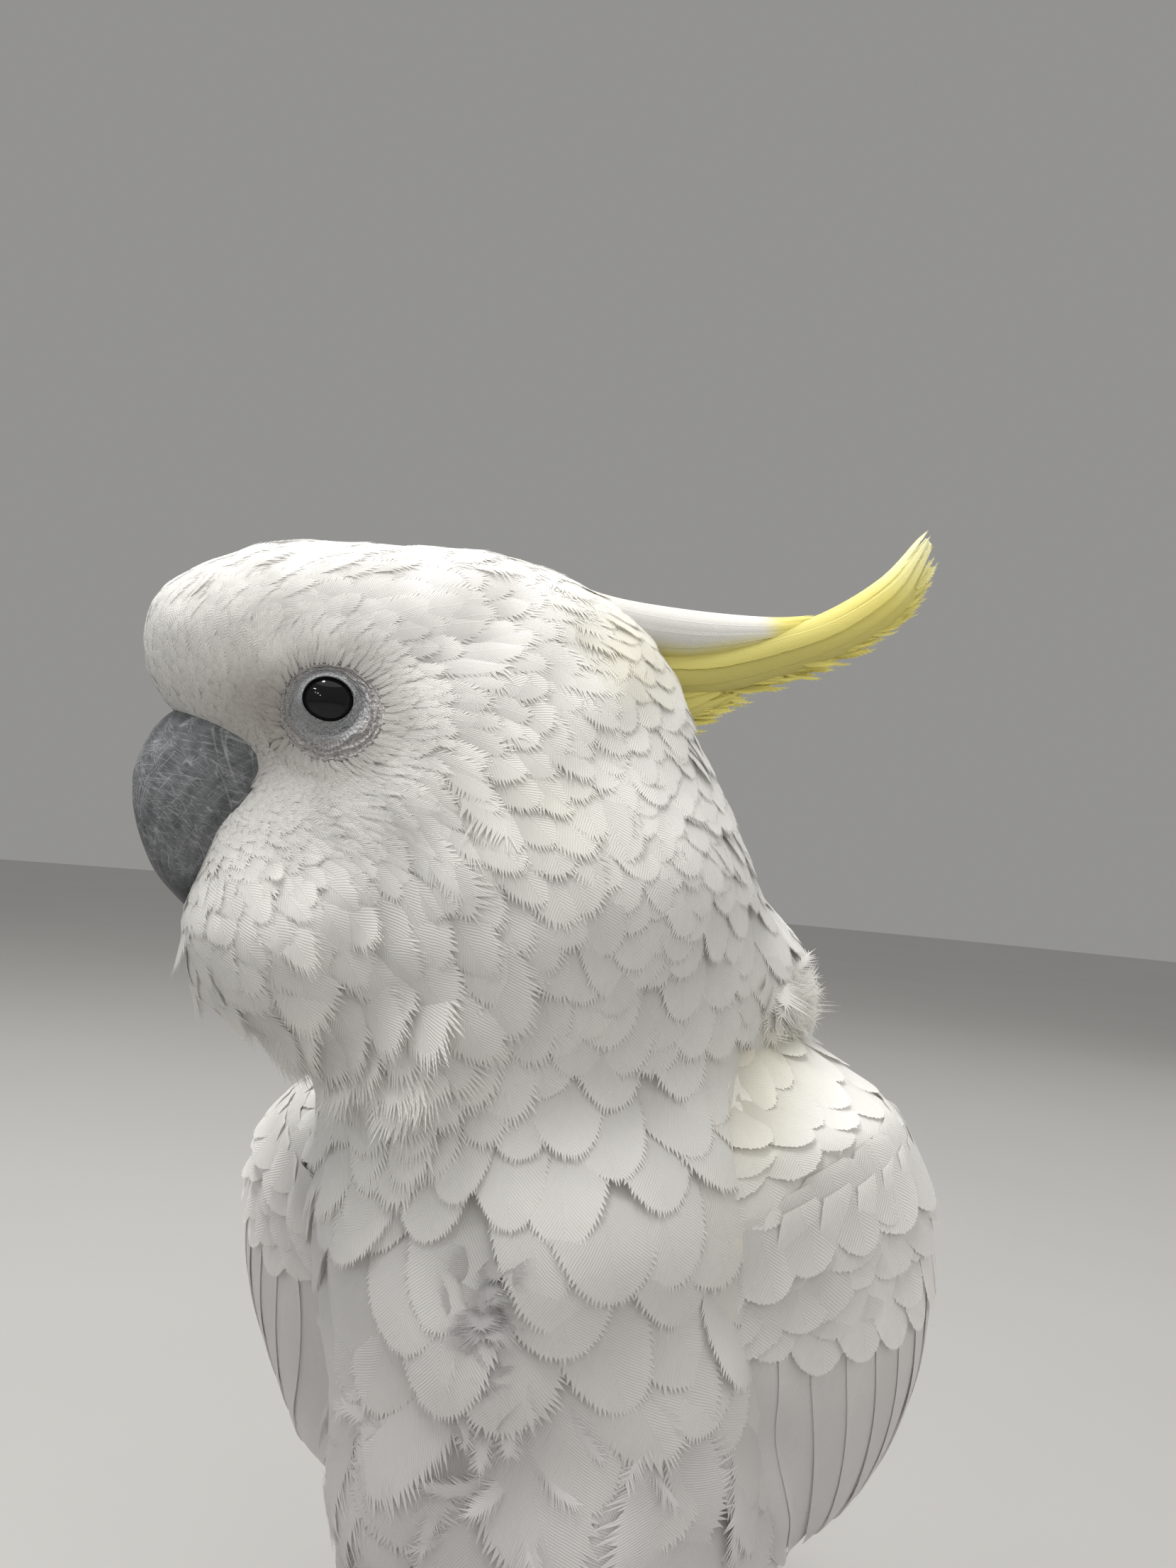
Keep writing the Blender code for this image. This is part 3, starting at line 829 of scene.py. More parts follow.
@dataclass(frozen=True)
class BillFinish:
    """Dark horn with growth lines round it, a chalky bloom and light scratches."""

    name: str = "bill_horn"
    dark: tuple[float, float, float] = (0.020, 0.022, 0.025)
    mid: tuple[float, float, float] = (0.042, 0.045, 0.050)
    chalk: tuple[float, float, float] = (0.30, 0.31, 0.32)
    scratches: tuple = ((0.5, 40.0, 0.014), (1.35, 46.0, 0.014), (2.3, 36.0, 0.012),
                        (2.9, 54.0, 0.012), (0.05, 60.0, 0.012))    # turn, scale, narrowness

    def scratch(self, g: Graph, turn: float, scale: float, narrow: float) -> Value:
        """Thin straight lines: the middle band of a noise stretched along one heading.

        Args:
            g: the material's nodes.
            turn: the lines' heading.
            scale: how close they lie.
            narrow: how fine they are.

        Returns:
            One on a line, nought off it.
        """
        turned = g.node("ShaderNodeMapping", None, {"Vector": g.uv("Horn"), "Rotation": (0.0, 0.0, turn)})
        band = g.noise(g.stretched(turned.outputs[0], (scale, scale * 0.07, 1.0)), 1.0, 2.0, 0.5, 0.5)
        return 1.0 - abs(band - 0.5).step(0.0, narrow)

    def make(self) -> Material:
        """The map runs along the bill (x) and round it (y), each from nought to one.

        Returns:
            The material.
        """
        g = Graph(self.name)
        along, around, _ = g.split(g.uv("Horn"))
        place = g.place()
        broad = g.noise(place, 150.0, 4.0)
        fine = g.noise(place, 900.0, 4.0, 0.65)
        growth = (around * 150.0 + broad * 10.0 + fine * 1.6).sine()
        rings = (along * 62.0 + broad * 5.0 + fine).sine()
        lines = sum(self.scratch(g, *line) for line in self.scratches).clamped()
        bloom = (g.noise(place, 260.0, 5.0, 0.7) * 1.7 - 0.62 + broad * 0.5).clamped()
        tip = along.step(0.62, 0.74)
        web = lines * (0.35 + bloom * 0.9) * (1.0 - tip * 0.8)
        chalky = (bloom * 0.40 + (growth * 0.5 + 0.5) * 0.10) * (1.0 - tip * 0.85)
        colour = g.mix(chalky, g.mix(broad, self.dark, self.mid), self.chalk)
        colour = g.mix((web * 0.55).clamped(), colour, (0.40, 0.41, 0.42))
        g.bump(growth * 0.35 + rings * 0.12 + fine * 0.8 - lines * 0.7 + bloom * 0.4, 0.55, 0.00018)
        return g.finish(colour, 0.50 + fine * 0.25 - tip * 0.16, 0.45)


@dataclass(frozen=True)
class ScaleFinish:
    """Leg skin: small grey scales with powdery edges."""

    name: str = "leg_scale"

    def make(self) -> Material:
        """Cells give the scales; their edges are lighter and lower.

        Returns:
            The material.
        """
        g = Graph(self.name)
        place = g.place()
        scale = g.cells(place, 620.0, "DISTANCE_TO_EDGE").step(0.02, 0.22)
        dust = g.noise(place, 500.0, 4.0)
        colour = g.mix(scale, (0.30, 0.29, 0.29), (0.095, 0.095, 0.105))
        g.bump(scale + dust * 0.4, 0.6, 0.0003)
        return g.finish(g.mix(dust * 0.5, colour, (0.33, 0.32, 0.32)), 0.62, 0.35)


@dataclass(frozen=True)
class ClawFinish:
    """Claw horn: dark, lengthwise grained, paler at the point."""

    name: str = "claw_horn"

    def make(self) -> Material:
        """The map runs along the claw (x) and round it (y).

        Returns:
            The material.
        """
        g = Graph(self.name)
        along, around, _ = g.split(g.uv("Horn"))
        grain = g.noise(g.place(), 700.0, 3.0)
        lines = (around * 90.0 + grain * 4.0).sine()
        pale = along.step(0.5, 1.0) * 0.6 + grain * 0.2
        g.bump(lines * 0.3 + grain, 0.35, 0.0002)
        return g.finish(g.mix(pale, (0.030, 0.030, 0.034), (0.16, 0.15, 0.15)), 0.35 + grain * 0.2, 0.5)


@dataclass(frozen=True)
class FloorFinish:
    """Plain pale floor."""

    name: str = "pale_floor"

    def make(self) -> Material:
        """One pale tone with the faintest mottling."""
        g = Graph(self.name)
        return g.finish(g.mix(g.noise(g.place(), 3.0), (0.27, 0.265, 0.256), (0.295, 0.29, 0.28)), 0.7, 0.2)


class Finish(Enum):
    """The record's material slots."""

    FEATHER = "white_feather"
    CREST = "yellow_crest"
    HORN = "bill_horn"
    LEG = "leg_scale"
    CLAW = "claw_horn"
    EYE = "eye"


# ---------------------------------------------------------- meshes
def push(rows: object, key: str, values: Array, kind: type = np.float32) -> None:
    """Sets one property of every row of a mesh's list from an array."""
    rows.foreach_set(key, np.ascontiguousarray(values, kind).ravel())


def pull(rows: object, key: str, kind: type = np.float32) -> Array:
    """Reads one property of every row of a mesh's list.

    Args:
        rows: the list.
        key: the property, three numbers to a row.
        kind: their type.

    Returns:
        The numbers, (rows, 3).
    """
    values = np.empty(len(rows) * 3, kind)
    rows.foreach_get(key, values)
    return values.reshape(-1, 3)


def put_mesh(name: str, points: Array, faces: list[Array], finish: Material, maps: dict[str, Array],
             tint: Array | None = None,
             lean: tuple[Array, float] | None = None) -> Object:
    """Fills a mesh from arrays, and rides, slots and links its object.

    Args:
        name: the piece's name.
        points: corners, (n, 3).
        faces: arrays of corner numbers, each (faces, sides).
        finish: its material.
        maps: UV maps, by name, either by corner (n, 2) or by face corner.
        tint: linear colour at each corner.
        lean: the coat's own normals and how far the shading leans to them.

    Returns:
        The object, at the origin.
    """
    mesh = bpy.data.meshes.new(name)
    loops = np.concatenate([f.ravel() for f in faces])
    sizes = np.concatenate([np.full(len(f), f.shape[1]) for f in faces])
    mesh.vertices.add(len(points))
    push(mesh.vertices, "co", points)
    mesh.loops.add(len(loops))
    push(mesh.loops, "vertex_index", loops, np.int32)
    mesh.polygons.add(len(sizes))
    push(mesh.polygons, "loop_start", np.cumsum(sizes) - sizes, np.int32)
    mesh.update(calc_edges=True)
    push(mesh.polygons, "use_smooth", np.ones(len(sizes)), bool)
    for label, values in maps.items():
        by_loop = values[loops] if len(values) == len(points) else values
        push(mesh.uv_layers.new(name=label).data, "uv", by_loop)
    if tint is not None:
        layer = mesh.color_attributes.new("Tint", "FLOAT_COLOR", "POINT")
        push(layer.data, "color", np.column_stack([np.clip(tint, 0, 1), np.ones(len(tint))]))
    mesh.materials.append(finish)
    mesh.update()
    if lean is not None:
        share = np.float32(lean[1])
        shaded = unit(pull(mesh.vertex_normals, "vector") * (1 - share) + lean[0] * share)
        mesh.normals_split_custom_set_from_vertices(shaded)
    piece = bpy.data.objects.new(name, mesh)
    bpy.context.scene.collection.objects.link(piece)
    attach(piece, "root")
    LOG.info("%s: %d faces", name, len(sizes))
    return piece


def weave(rows: int, columns: int, closed: bool = True) -> Array:
    """Quads between the corners of a grid, kept row by row.

    Args:
        rows: rows of corners.
        columns: corners in a row.
        closed: whether each row runs round to its own start.

    Returns:
        Four corner numbers for each quad.
    """
    steps = np.arange(rows - 1), np.arange(columns if closed else columns - 1)
    i, j = (a.ravel() for a in np.meshgrid(*steps, indexing="ij"))
    low, k = i * columns, (j + 1) % columns
    return np.column_stack([low + j, low + k, low + columns + k, low + columns + j])


def tube(rings: Array) -> tuple[Array, list[Array], Array]:
    """A closed skin over rings of points, with a middle point closing each end.

    Args:
        rings: (rows, sides, 3).

    Returns:
        Corners, faces, and a map by face corner: x along the tube and y round it.
    """
    rows, sides = rings.shape[:2]
    points = np.vstack([rings.reshape(-1, 3), rings[0].mean(0), rings[-1].mean(0)])
    quads = weave(rows, sides)
    cells = np.stack(np.divmod(quads[:, 0], sides), -1)[:, None]
    quad_map = (cells + [(0, 0), (0, 1), (1, 1), (1, 0)]) / (rows - 1, sides)
    j = np.arange(sides)
    k = (j + 1) % sides
    low = (rows - 1) * sides
    first = np.column_stack([np.full(sides, rows * sides), k, j])
    last = np.column_stack([np.full(sides, rows * sides + 1), low + j, low + k])
    first_map = np.stack([np.zeros((sides, 3)), np.column_stack([j + 0.5, j + 1, j]) / sides], -1)
    last_map = np.stack([np.ones((sides, 3)), np.column_stack([j + 0.5, j, j + 1]) / sides], -1)
    uv = np.concatenate([part.reshape(-1, 2) for part in (quad_map, first_map, last_map)])
    return points, [quads, np.vstack([first, last])], uv


def outwards(points: Array, faces: list[Array]) -> list[Array]:
    """Turns all faces over if the closed mesh's volume comes out negative.

    Args:
        points: corners.
        faces: arrays of corner numbers, each (faces, sides).

    Returns:
        The same faces, or all of them turned over.
    """
    total = 0.0
    for group in faces:
        for k in range(1, group.shape[1] - 1):
            a, b, c = (points[group[:, n]] for n in (0, k, k + 1))
            total += (a * np.cross(b, c)).sum()
    return [group[:, ::-1] for group in faces] if total < 0 else faces


def closed_tube(rings: Array) -> tuple[Array, list[Array], Array]:
    """A tube whose rings run the way that turns its faces outwards."""
    points, faces, uv = tube(rings)
    return (points, faces, uv) if outwards(points, faces) is faces else tube(rings[:, ::-1])


def put_tube(name: str, rings: Array, finish: Material) -> Object:
    """Makes a piece of a closed tube, with the map that its horn or scales follow."""
    points, faces, uv = closed_tube(rings)
    return put_mesh(name, points, faces, finish, {"Horn": uv})


def put_pad(name: str, rings: Array, finish: Material, colour: Callable[[Array], Array],
            dull: float = 0.9) -> Object:
    """Makes the closed pad under a set of feathers, duller than they are."""
    points, faces, uv = closed_tube(rings)
    return put_mesh(name, points, faces, finish, {"OFBake": uv}, colour(points) * dull)


# ---------------------------------------------------------- vanes
@dataclass(frozen=True)
class VaneCut:
    """How one kind of feather is cut out: grid, outline and fringe."""

    rows: int
    columns: int
    root: float                 # width at the root
    widest: float               # where it is widest
    end: float                  # width at the tip
    round_tip: float            # how far the oval tip falls back at its sides
    fringe: float               # length of the free barbs
    fringe_from: float          # where the free barbs begin, along the edges
    ragged: float               # how uneven the free barbs are
    aspect: float               # length over half-width, for the barbs' slant
    teeth: int = 2              # free barbs to each step of the rim
    turn: float = 1.25          # how far round its oval the tip is drawn, radians

    def half_width(self, along: Array) -> Array:
        """Outline: a quarter sine out to the widest place, then a parabola in to the tip."""
        rise = self.root + (1 - self.root) * np.sin(np.clip(along / self.widest, 0, 1) * math.pi / 2)
        return rise * (1 - (1 - self.end) * np.clip((along - self.widest) / (1 - self.widest), 0, 1)**2)

    def template(self) -> tuple[Array, Array, Array, Array, Array, Array]:
        """The flat pattern of one feather.

        Returns:
            Across (-1 to 1) and along (0 to 1) of every corner, quads, barb triangles, the
            barbs' own reach across and along; the last corners are the barbs' points.
        """
        u = np.linspace(0, 1, self.rows + 1)
        v = np.linspace(-1, 1, self.columns + 1)
        uu, vv = np.meshgrid(u, v * self.turn, indexing="ij")
        across = self.half_width(uu) * np.sin(vv) / math.sin(self.turn)
        along = uu * (1 - self.round_tip * (1 - np.cos(vv)) / (1 - math.cos(self.turn)))
        wide = self.columns + 1
        start = min(int(math.ceil(self.fringe_from * self.rows)), self.rows)
        left = np.arange(start, self.rows) * wide
        rim = np.concatenate([left, self.rows * wide + np.arange(wide), left[::-1] + self.columns])
        flat = np.stack([across.ravel(), along.ravel()], -1)
        a, b = flat[rim[:-1], None], flat[rim[1:], None]
        feet = a + (b - a) * (np.arange(self.teeth + 1) / self.teeth)[None, :, None]
        first, second = feet[:, :-1].reshape(-1, 2), feet[:, 1:].reshape(-1, 2)
        middle = (first + second) / 2
        slope = 0.55 * np.clip(middle[:, 0] / max(self.end, 0.2), -1, 1)
        count = len(middle)
        barbs = len(flat) + np.arange(count)[:, None] + np.array([0, count, 2 * count])
        across, along = np.concatenate([flat, first, second, middle]).T
        return (across, along, weave(self.rows + 1, wide, False), barbs,
                self.fringe * np.sin(slope) * self.aspect, self.fringe * np.cos(slope))


@dataclass(frozen=True)
class Laid:
    """Vanes in their places."""

    points: Array               # (feathers, corners, 3)
    length: Array
    width: Array
    normals: Array              # of the form under each corner


class Plumage:
    """Many vanes of one cut, as arrays of their corners across and along."""

    def __init__(self, cut: VaneCut, seed: int, count: int) -> None:
        """Draws the pattern once for each feather, with its own uneven barbs.

        Args:
            cut: the pattern.
            seed: picks the barbs' lengths.
            count: how many feathers.
        """
        rng = np.random.default_rng(seed)
        across, along, self.quads, self.barbs, reach_x, reach_y = cut.template()
        loose = len(reach_x)
        self.across = np.repeat(across[None], count, 0)
        self.along = np.repeat(along[None], count, 0)
        uneven = 1 - cut.ragged * rng.random((count, loose))
        sway = 0.25 * cut.fringe * (rng.random((count, loose)) - 0.5)
        self.across[:, -loose:] += reach_x * uneven + sway * cut.aspect
        self.along[:, -loose:] += reach_y * uneven

    def build(self, name: str, laid: Laid, tint: Array, roots: Array, finish: Material, soft: float) -> Object:
        """Joins the laid vanes into one piece, each darkened towards its root by painted shade, where the
        feathers above it overlap.

        Args:
            name: the piece's name.
            laid: the vanes in their places.
            tint: colours, (count, 1, 3) or (count, corners, 3).
            roots: each root's place on the unwrapped skin, (count, 2).
            finish: material.
            soft: how far the shading leans to the form's normals.

        Returns:
            The piece.
        """
        count, corners = self.across.shape
        base = (np.arange(count) * corners)[:, None, None]
        faces = [(pattern[None] + base).reshape(-1, pattern.shape[1])
                 for pattern in (self.quads, self.barbs)]
        half, length = laid.width[:, None] / 2, laid.length[:, None]
        vane = np.stack([self.across * half, self.along * length], -1)
        patch = roots[:, None] + np.stack([self.across, self.along * 2 - 1], -1) * PATCH_HALF
        # painted shade: darker towards the root, where the feathers lying over it would shade it
        shade = 0.87 + 0.13 * ease(0.35, 0.92, self.along)
        return put_mesh(name, laid.points.reshape(-1, 3), faces, finish,
                        {"OFBake": patch.reshape(-1, 2), "Vane": vane.reshape(-1, 2)},
                        (tint * shade[..., None]).reshape(-1, 3), (laid.normals.reshape(-1, 3), soft))


# ---------------------------------------------------------- skin
@dataclass(frozen=True)
class Skin:
    """One skin over head, neck, trunk and thighs, as deep as the coat allows."""

    grain: float = 0.0021
    levels: int = 70
    sides: int = 72
    low: float = 0.0430
    high: float = 0.2745
    spine: tuple = ((0.030, 0.000, 0.028), (0.070, 0.000, 0.020), (0.110, 0.000, 0.002),
                    (0.150, -0.002, -0.001), (0.185, -0.008, -0.020), (0.205, -0.012, -0.033),
                    (0.235, -0.020, -0.037), (0.290, -0.031, -0.043))   # height, x, y

    def middle(self, height: Array) -> Array:
        """The body's middle line in plan, at some heights."""
        levels, x, y = np.array(self.spine).T
        return np.stack([np.interp(height, levels, x), np.interp(height, levels, y)], -1) + SHIFT[:2]

    def rough_rings(self) -> Array:
        """Rings marched out from the middle line until they leave the form, level by level.

        Returns:
            Points, (levels, sides, 3).
        """
        rise = (1 - np.cos(np.linspace(0, math.pi, self.levels))) / 2
        height = self.low + (self.high - self.low) * rise
        turn = round_turn(self.sides)
        rays = np.stack([np.cos(turn), np.sin(turn)], -1)
        steps = np.linspace(0.001, 0.13, 90)
        middle = self.middle(height)[:, None]
        plan = middle[:, None] + rays[None, :, None] * steps[None, None, :, None]
        z = np.broadcast_to(height[:, None, None, None], (*plan.shape[:3], 1))
        inside = FORM.distance(np.concatenate([plan, z], -1)) < 0
        first = np.where(inside.all(-1), len(steps) - 1, inside.argmin(-1))
        plan = middle + rays[None] * steps[np.maximum(first - 1, 0)][..., None]
        return np.concatenate([plan, z[:, :, 0]], -1)

    def unwrap(self, points: Array) -> Array:
        """Finds places on the unwrapped skin: the turn round the body's middle line, and height.

        Args:
            points: places on the bird.

        Returns:
            Places on the map, from nought to one.
        """
        x, y = np.moveaxis(points[..., :2] - self.middle(points[..., 2]), -1, 0)
        turn = np.arctan2(x, y) / (2 * math.pi)
        return np.stack([0.5 + turn * 0.98, 0.02 + points[..., 2] / 0.30 * 0.96], -1)

    def fused(self) -> tuple[Array, Array]:
        """Joins the rings' shell and two balls for the thighs by a fine remesh.

        Returns:
            The joined shell's corners, and its triangles.
        """
        turn = np.linspace(0, 2 * math.pi, 32, endpoint=False)
        polar = np.linspace(0.05, math.pi - 0.05, 20)
        shells = [self.rough_rings()]
        for lump in FORM.lumps[-2:]:
            ball = np.stack([np.sin(polar)[:, None] * np.cos(turn), np.sin(polar)[:, None] * np.sin(turn),
                             np.repeat(np.cos(polar)[:, None], 32, 1)], -1)
            shells.append(ball * np.array(lump.radii) * 0.97 + np.array(lump.centre) + SHIFT)
        corners, polygons = np.empty((0, 3)), []
        for rings in shells:
            points, faces, _ = tube(rings)
            for group in outwards(points, faces):
                polygons += (group + len(corners)).tolist()
            corners = np.vstack([corners, points])
        mesh = bpy.data.meshes.new("shells")
        mesh.from_pydata(corners.tolist(), [], polygons)
        rough = bpy.data.objects.new("shells", mesh)
        bpy.context.scene.collection.objects.link(rough)
        remesh = rough.modifiers.new("joined", "REMESH")
        remesh.mode = "VOXEL"
        remesh.voxel_size = self.grain
        graph = bpy.context.evaluated_depsgraph_get()
        joined = bpy.data.meshes.new_from_object(rough.evaluated_get(graph))
        bpy.data.objects.remove(rough)
        joined.calc_loop_triangles()
        corners = pull(joined.vertices, "co").astype(float)
        triangles = pull(joined.loop_triangles, "vertices", np.int32)
        bpy.data.meshes.remove(joined)
        return corners, triangles

    def make(self, finish: Material) -> tuple[Array, Array]:
        """Settles every corner at the coat's depth, with a hollow for each eye.

        Args:
            finish: the skin's material.

        Returns:
            The skin's corners lifted to the form, and its triangles.
        """
        corners, triangles = self.fused()
        surface = FORM.settle(corners, 0.0, 4)
        place = Place.of(surface)
        hollow = 0.0045 * bell(place.eye / 0.55)
        inner = surface - FORM.slope(surface) * (PLAN.depth(place) + hollow)[:, None]
        uv = self.unwrap(inner)[triangles]
        wrapped = np.ptp(uv[..., 0], axis=1, keepdims=True) > 0.5
        uv[..., 0] = np.minimum(uv[..., 0] + 0.98 * (wrapped & (uv[..., 0] < 0.5)), 1.0)
        skin = put_mesh("skin", inner, [triangles], finish, {"OFBake": uv.reshape(-1, 2)},
                        tint=markings(surface) * 0.9)
        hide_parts("head", "neck", "trunk", "left_thigh", "right_thigh")
        return surface, triangles


SKIN = Skin()


# ---------------------------------------------------------- the body's coat
@dataclass(frozen=True)
class Patch:
    """Habits of one region of the coat."""

    cut: VaneCut
    finish: str
    loose: float                # how far headings stray
    puff: float                 # swell of each feather, in its lengths
    tuck: float                 # how far its edges bend down
    flare: float                # how far its tip turns up
    soft: float                 # how far the shading leans to the form
    size: float = 1.0           # length against the plan's
    slim: float = 1.0           # width against the plan's
    stand: float = 0.0          # how far the tips stand off, in lengths


@dataclass(frozen=True)
class Tuft:
    """A tuft of loose feathers at one place."""

    name: str
    middle: tuple[float, float, float]
    reach: tuple[float, float, float]
    count: int
    tone: tuple[float, float, float]
    patch: Patch


NECK_CUT = VaneCut(8, 14, 0.4, 0.6, 0.92, 0.44, 0.12, 0.45, 0.5, 2.9)
DOWN_CUT = VaneCut(10, 2, 0.7, 0.4, 0.5, 0.12, 0.20, 0.05, 0.6, 20.0, 4)
PATCHES = {
    "coat_chin": Patch(VaneCut(9, 14, 0.35, 0.62, 0.92, 0.43, 0.17, 0.35, 0.5, 3.2), "soft",
                       0.4, 0.034, 0.12, 0.06, 0.4, 1.10, 1.1, 0.01),
    "coat_face": Patch(VaneCut(3, 4, 0.5, 0.45, 0.85, 0.40, 0.30, 0.3, 0.5, 4.0), "fine",
                       0.2, 0.0, 0.1, 0.0, 0.75),
    "coat_crown": Patch(VaneCut(6, 8, 0.45, 0.5, 0.9, 0.40, 0.22, 0.5, 0.6, 4.5), "fine",
                        0.12, 0.002, 0.04, 0.0, 0.8),
    "coat_ears": Patch(VaneCut(6, 4, 0.4, 0.45, 0.5, 0.12, 0.30, 0.10, 0.7, 8.0), "fine",
                       0.5, 0.006, 0.15, 0.03, 0.5, 1.1),
    "coat_cheeks": Patch(VaneCut(6, 12, 0.4, 0.6, 0.92, 0.44, 0.20, 0.4, 0.5, 3.2), "soft",
                         0.2, 0.010, 0.12, 0.0, 0.55),
    "coat_thighs": Patch(VaneCut(6, 8, 0.35, 0.5, 0.9, 0.30, 0.20, 0.5, 0.7, 4.0), "soft",
                         0.6, 0.01, 0.15, 0.0, 0.4),
    "coat_neck": Patch(NECK_CUT, "soft", 0.2, 0.010, 0.09, 0.0, 0.72),
    "coat_nape": Patch(NECK_CUT, "soft", 0.12, 0.002, 0.02, 0.0, 0.85),
    "coat_belly": Patch(VaneCut(10, 12, 0.3, 0.5, 0.88, 0.38, 0.15, 0.3, 0.7, 4.2, 3), "soft",
                        0.6, 0.02, 0.18, 0.02, 0.4),
    "coat_breast": Patch(VaneCut(10, 18, 0.4, 0.58, 0.94, 0.46, 0.08, 0.5, 0.5, 2.8), "soft",
                         0.4, 0.016, 0.12, 0.0, 0.60),
    "coat_back": Patch(VaneCut(8, 12, 0.4, 0.58, 0.94, 0.44, 0.09, 0.5, 0.6, 2.8), "soft",
                       0.15, 0.004, 0.05, 0.0, 0.75),
}
TUFTS = (
    Tuft("parting_down", (0.0045, -0.056, 0.134), (0.0016, 0.001, 0.0080), 22, (0.66, 0.66, 0.67),
         Patch(DOWN_CUT, "fine", 2.0, 0.0, 0.0, 0.0, 0.4, 0.16, 0.20, 0.04)),
    Tuft("belly_down", (0.0030, -0.052, 0.112), (0.0150, 0.001, 0.0100), 26, (1.0, 1.0, 1.01),
         Patch(DOWN_CUT, "fine", 3.0, 0.0, 0.0, 0.03, 0.4, 0.50, 0.10, 0.02)),
    Tuft("shoulder_down", (0.0430, -0.0080, 0.191), (0.0030, 0.0030, 0.0020), 40, (1.02, 1.02, 1.03),
         Patch(VaneCut(9, 2, 0.7, 0.4, 0.5, 0.12, 0.30, 0.05, 0.6, 26.0, 3), "fine",
               6.0, 0.0, 0.0, 0.06, 0.4, 0.45, 0.10, 0.26)),
    Tuft("nape_feathers", (0.0272, -0.0378, 0.2275), (0.0050, 0.0050, 0.0030), 12, (1.0, 1.0, 1.0),
         Patch(NECK_CUT, "soft", 0.10, 0.002, 0.02, 0.0, 0.85, 1.05, 1.0, 0.045)),
    Tuft("chin_ruff", (-0.0360, -0.0660, 0.188), (0.0110, 0.0050, 0.0060), 36, (1.0, 1.0, 1.0),
         Patch(VaneCut(9, 14, 0.35, 0.6, 0.90, 0.40, 0.24, 0.3, 0.5, 3.2), "soft",
               0.5, 0.030, 0.12, 0.55, 0.35, 1.0, 0.95, 0.10)),
)


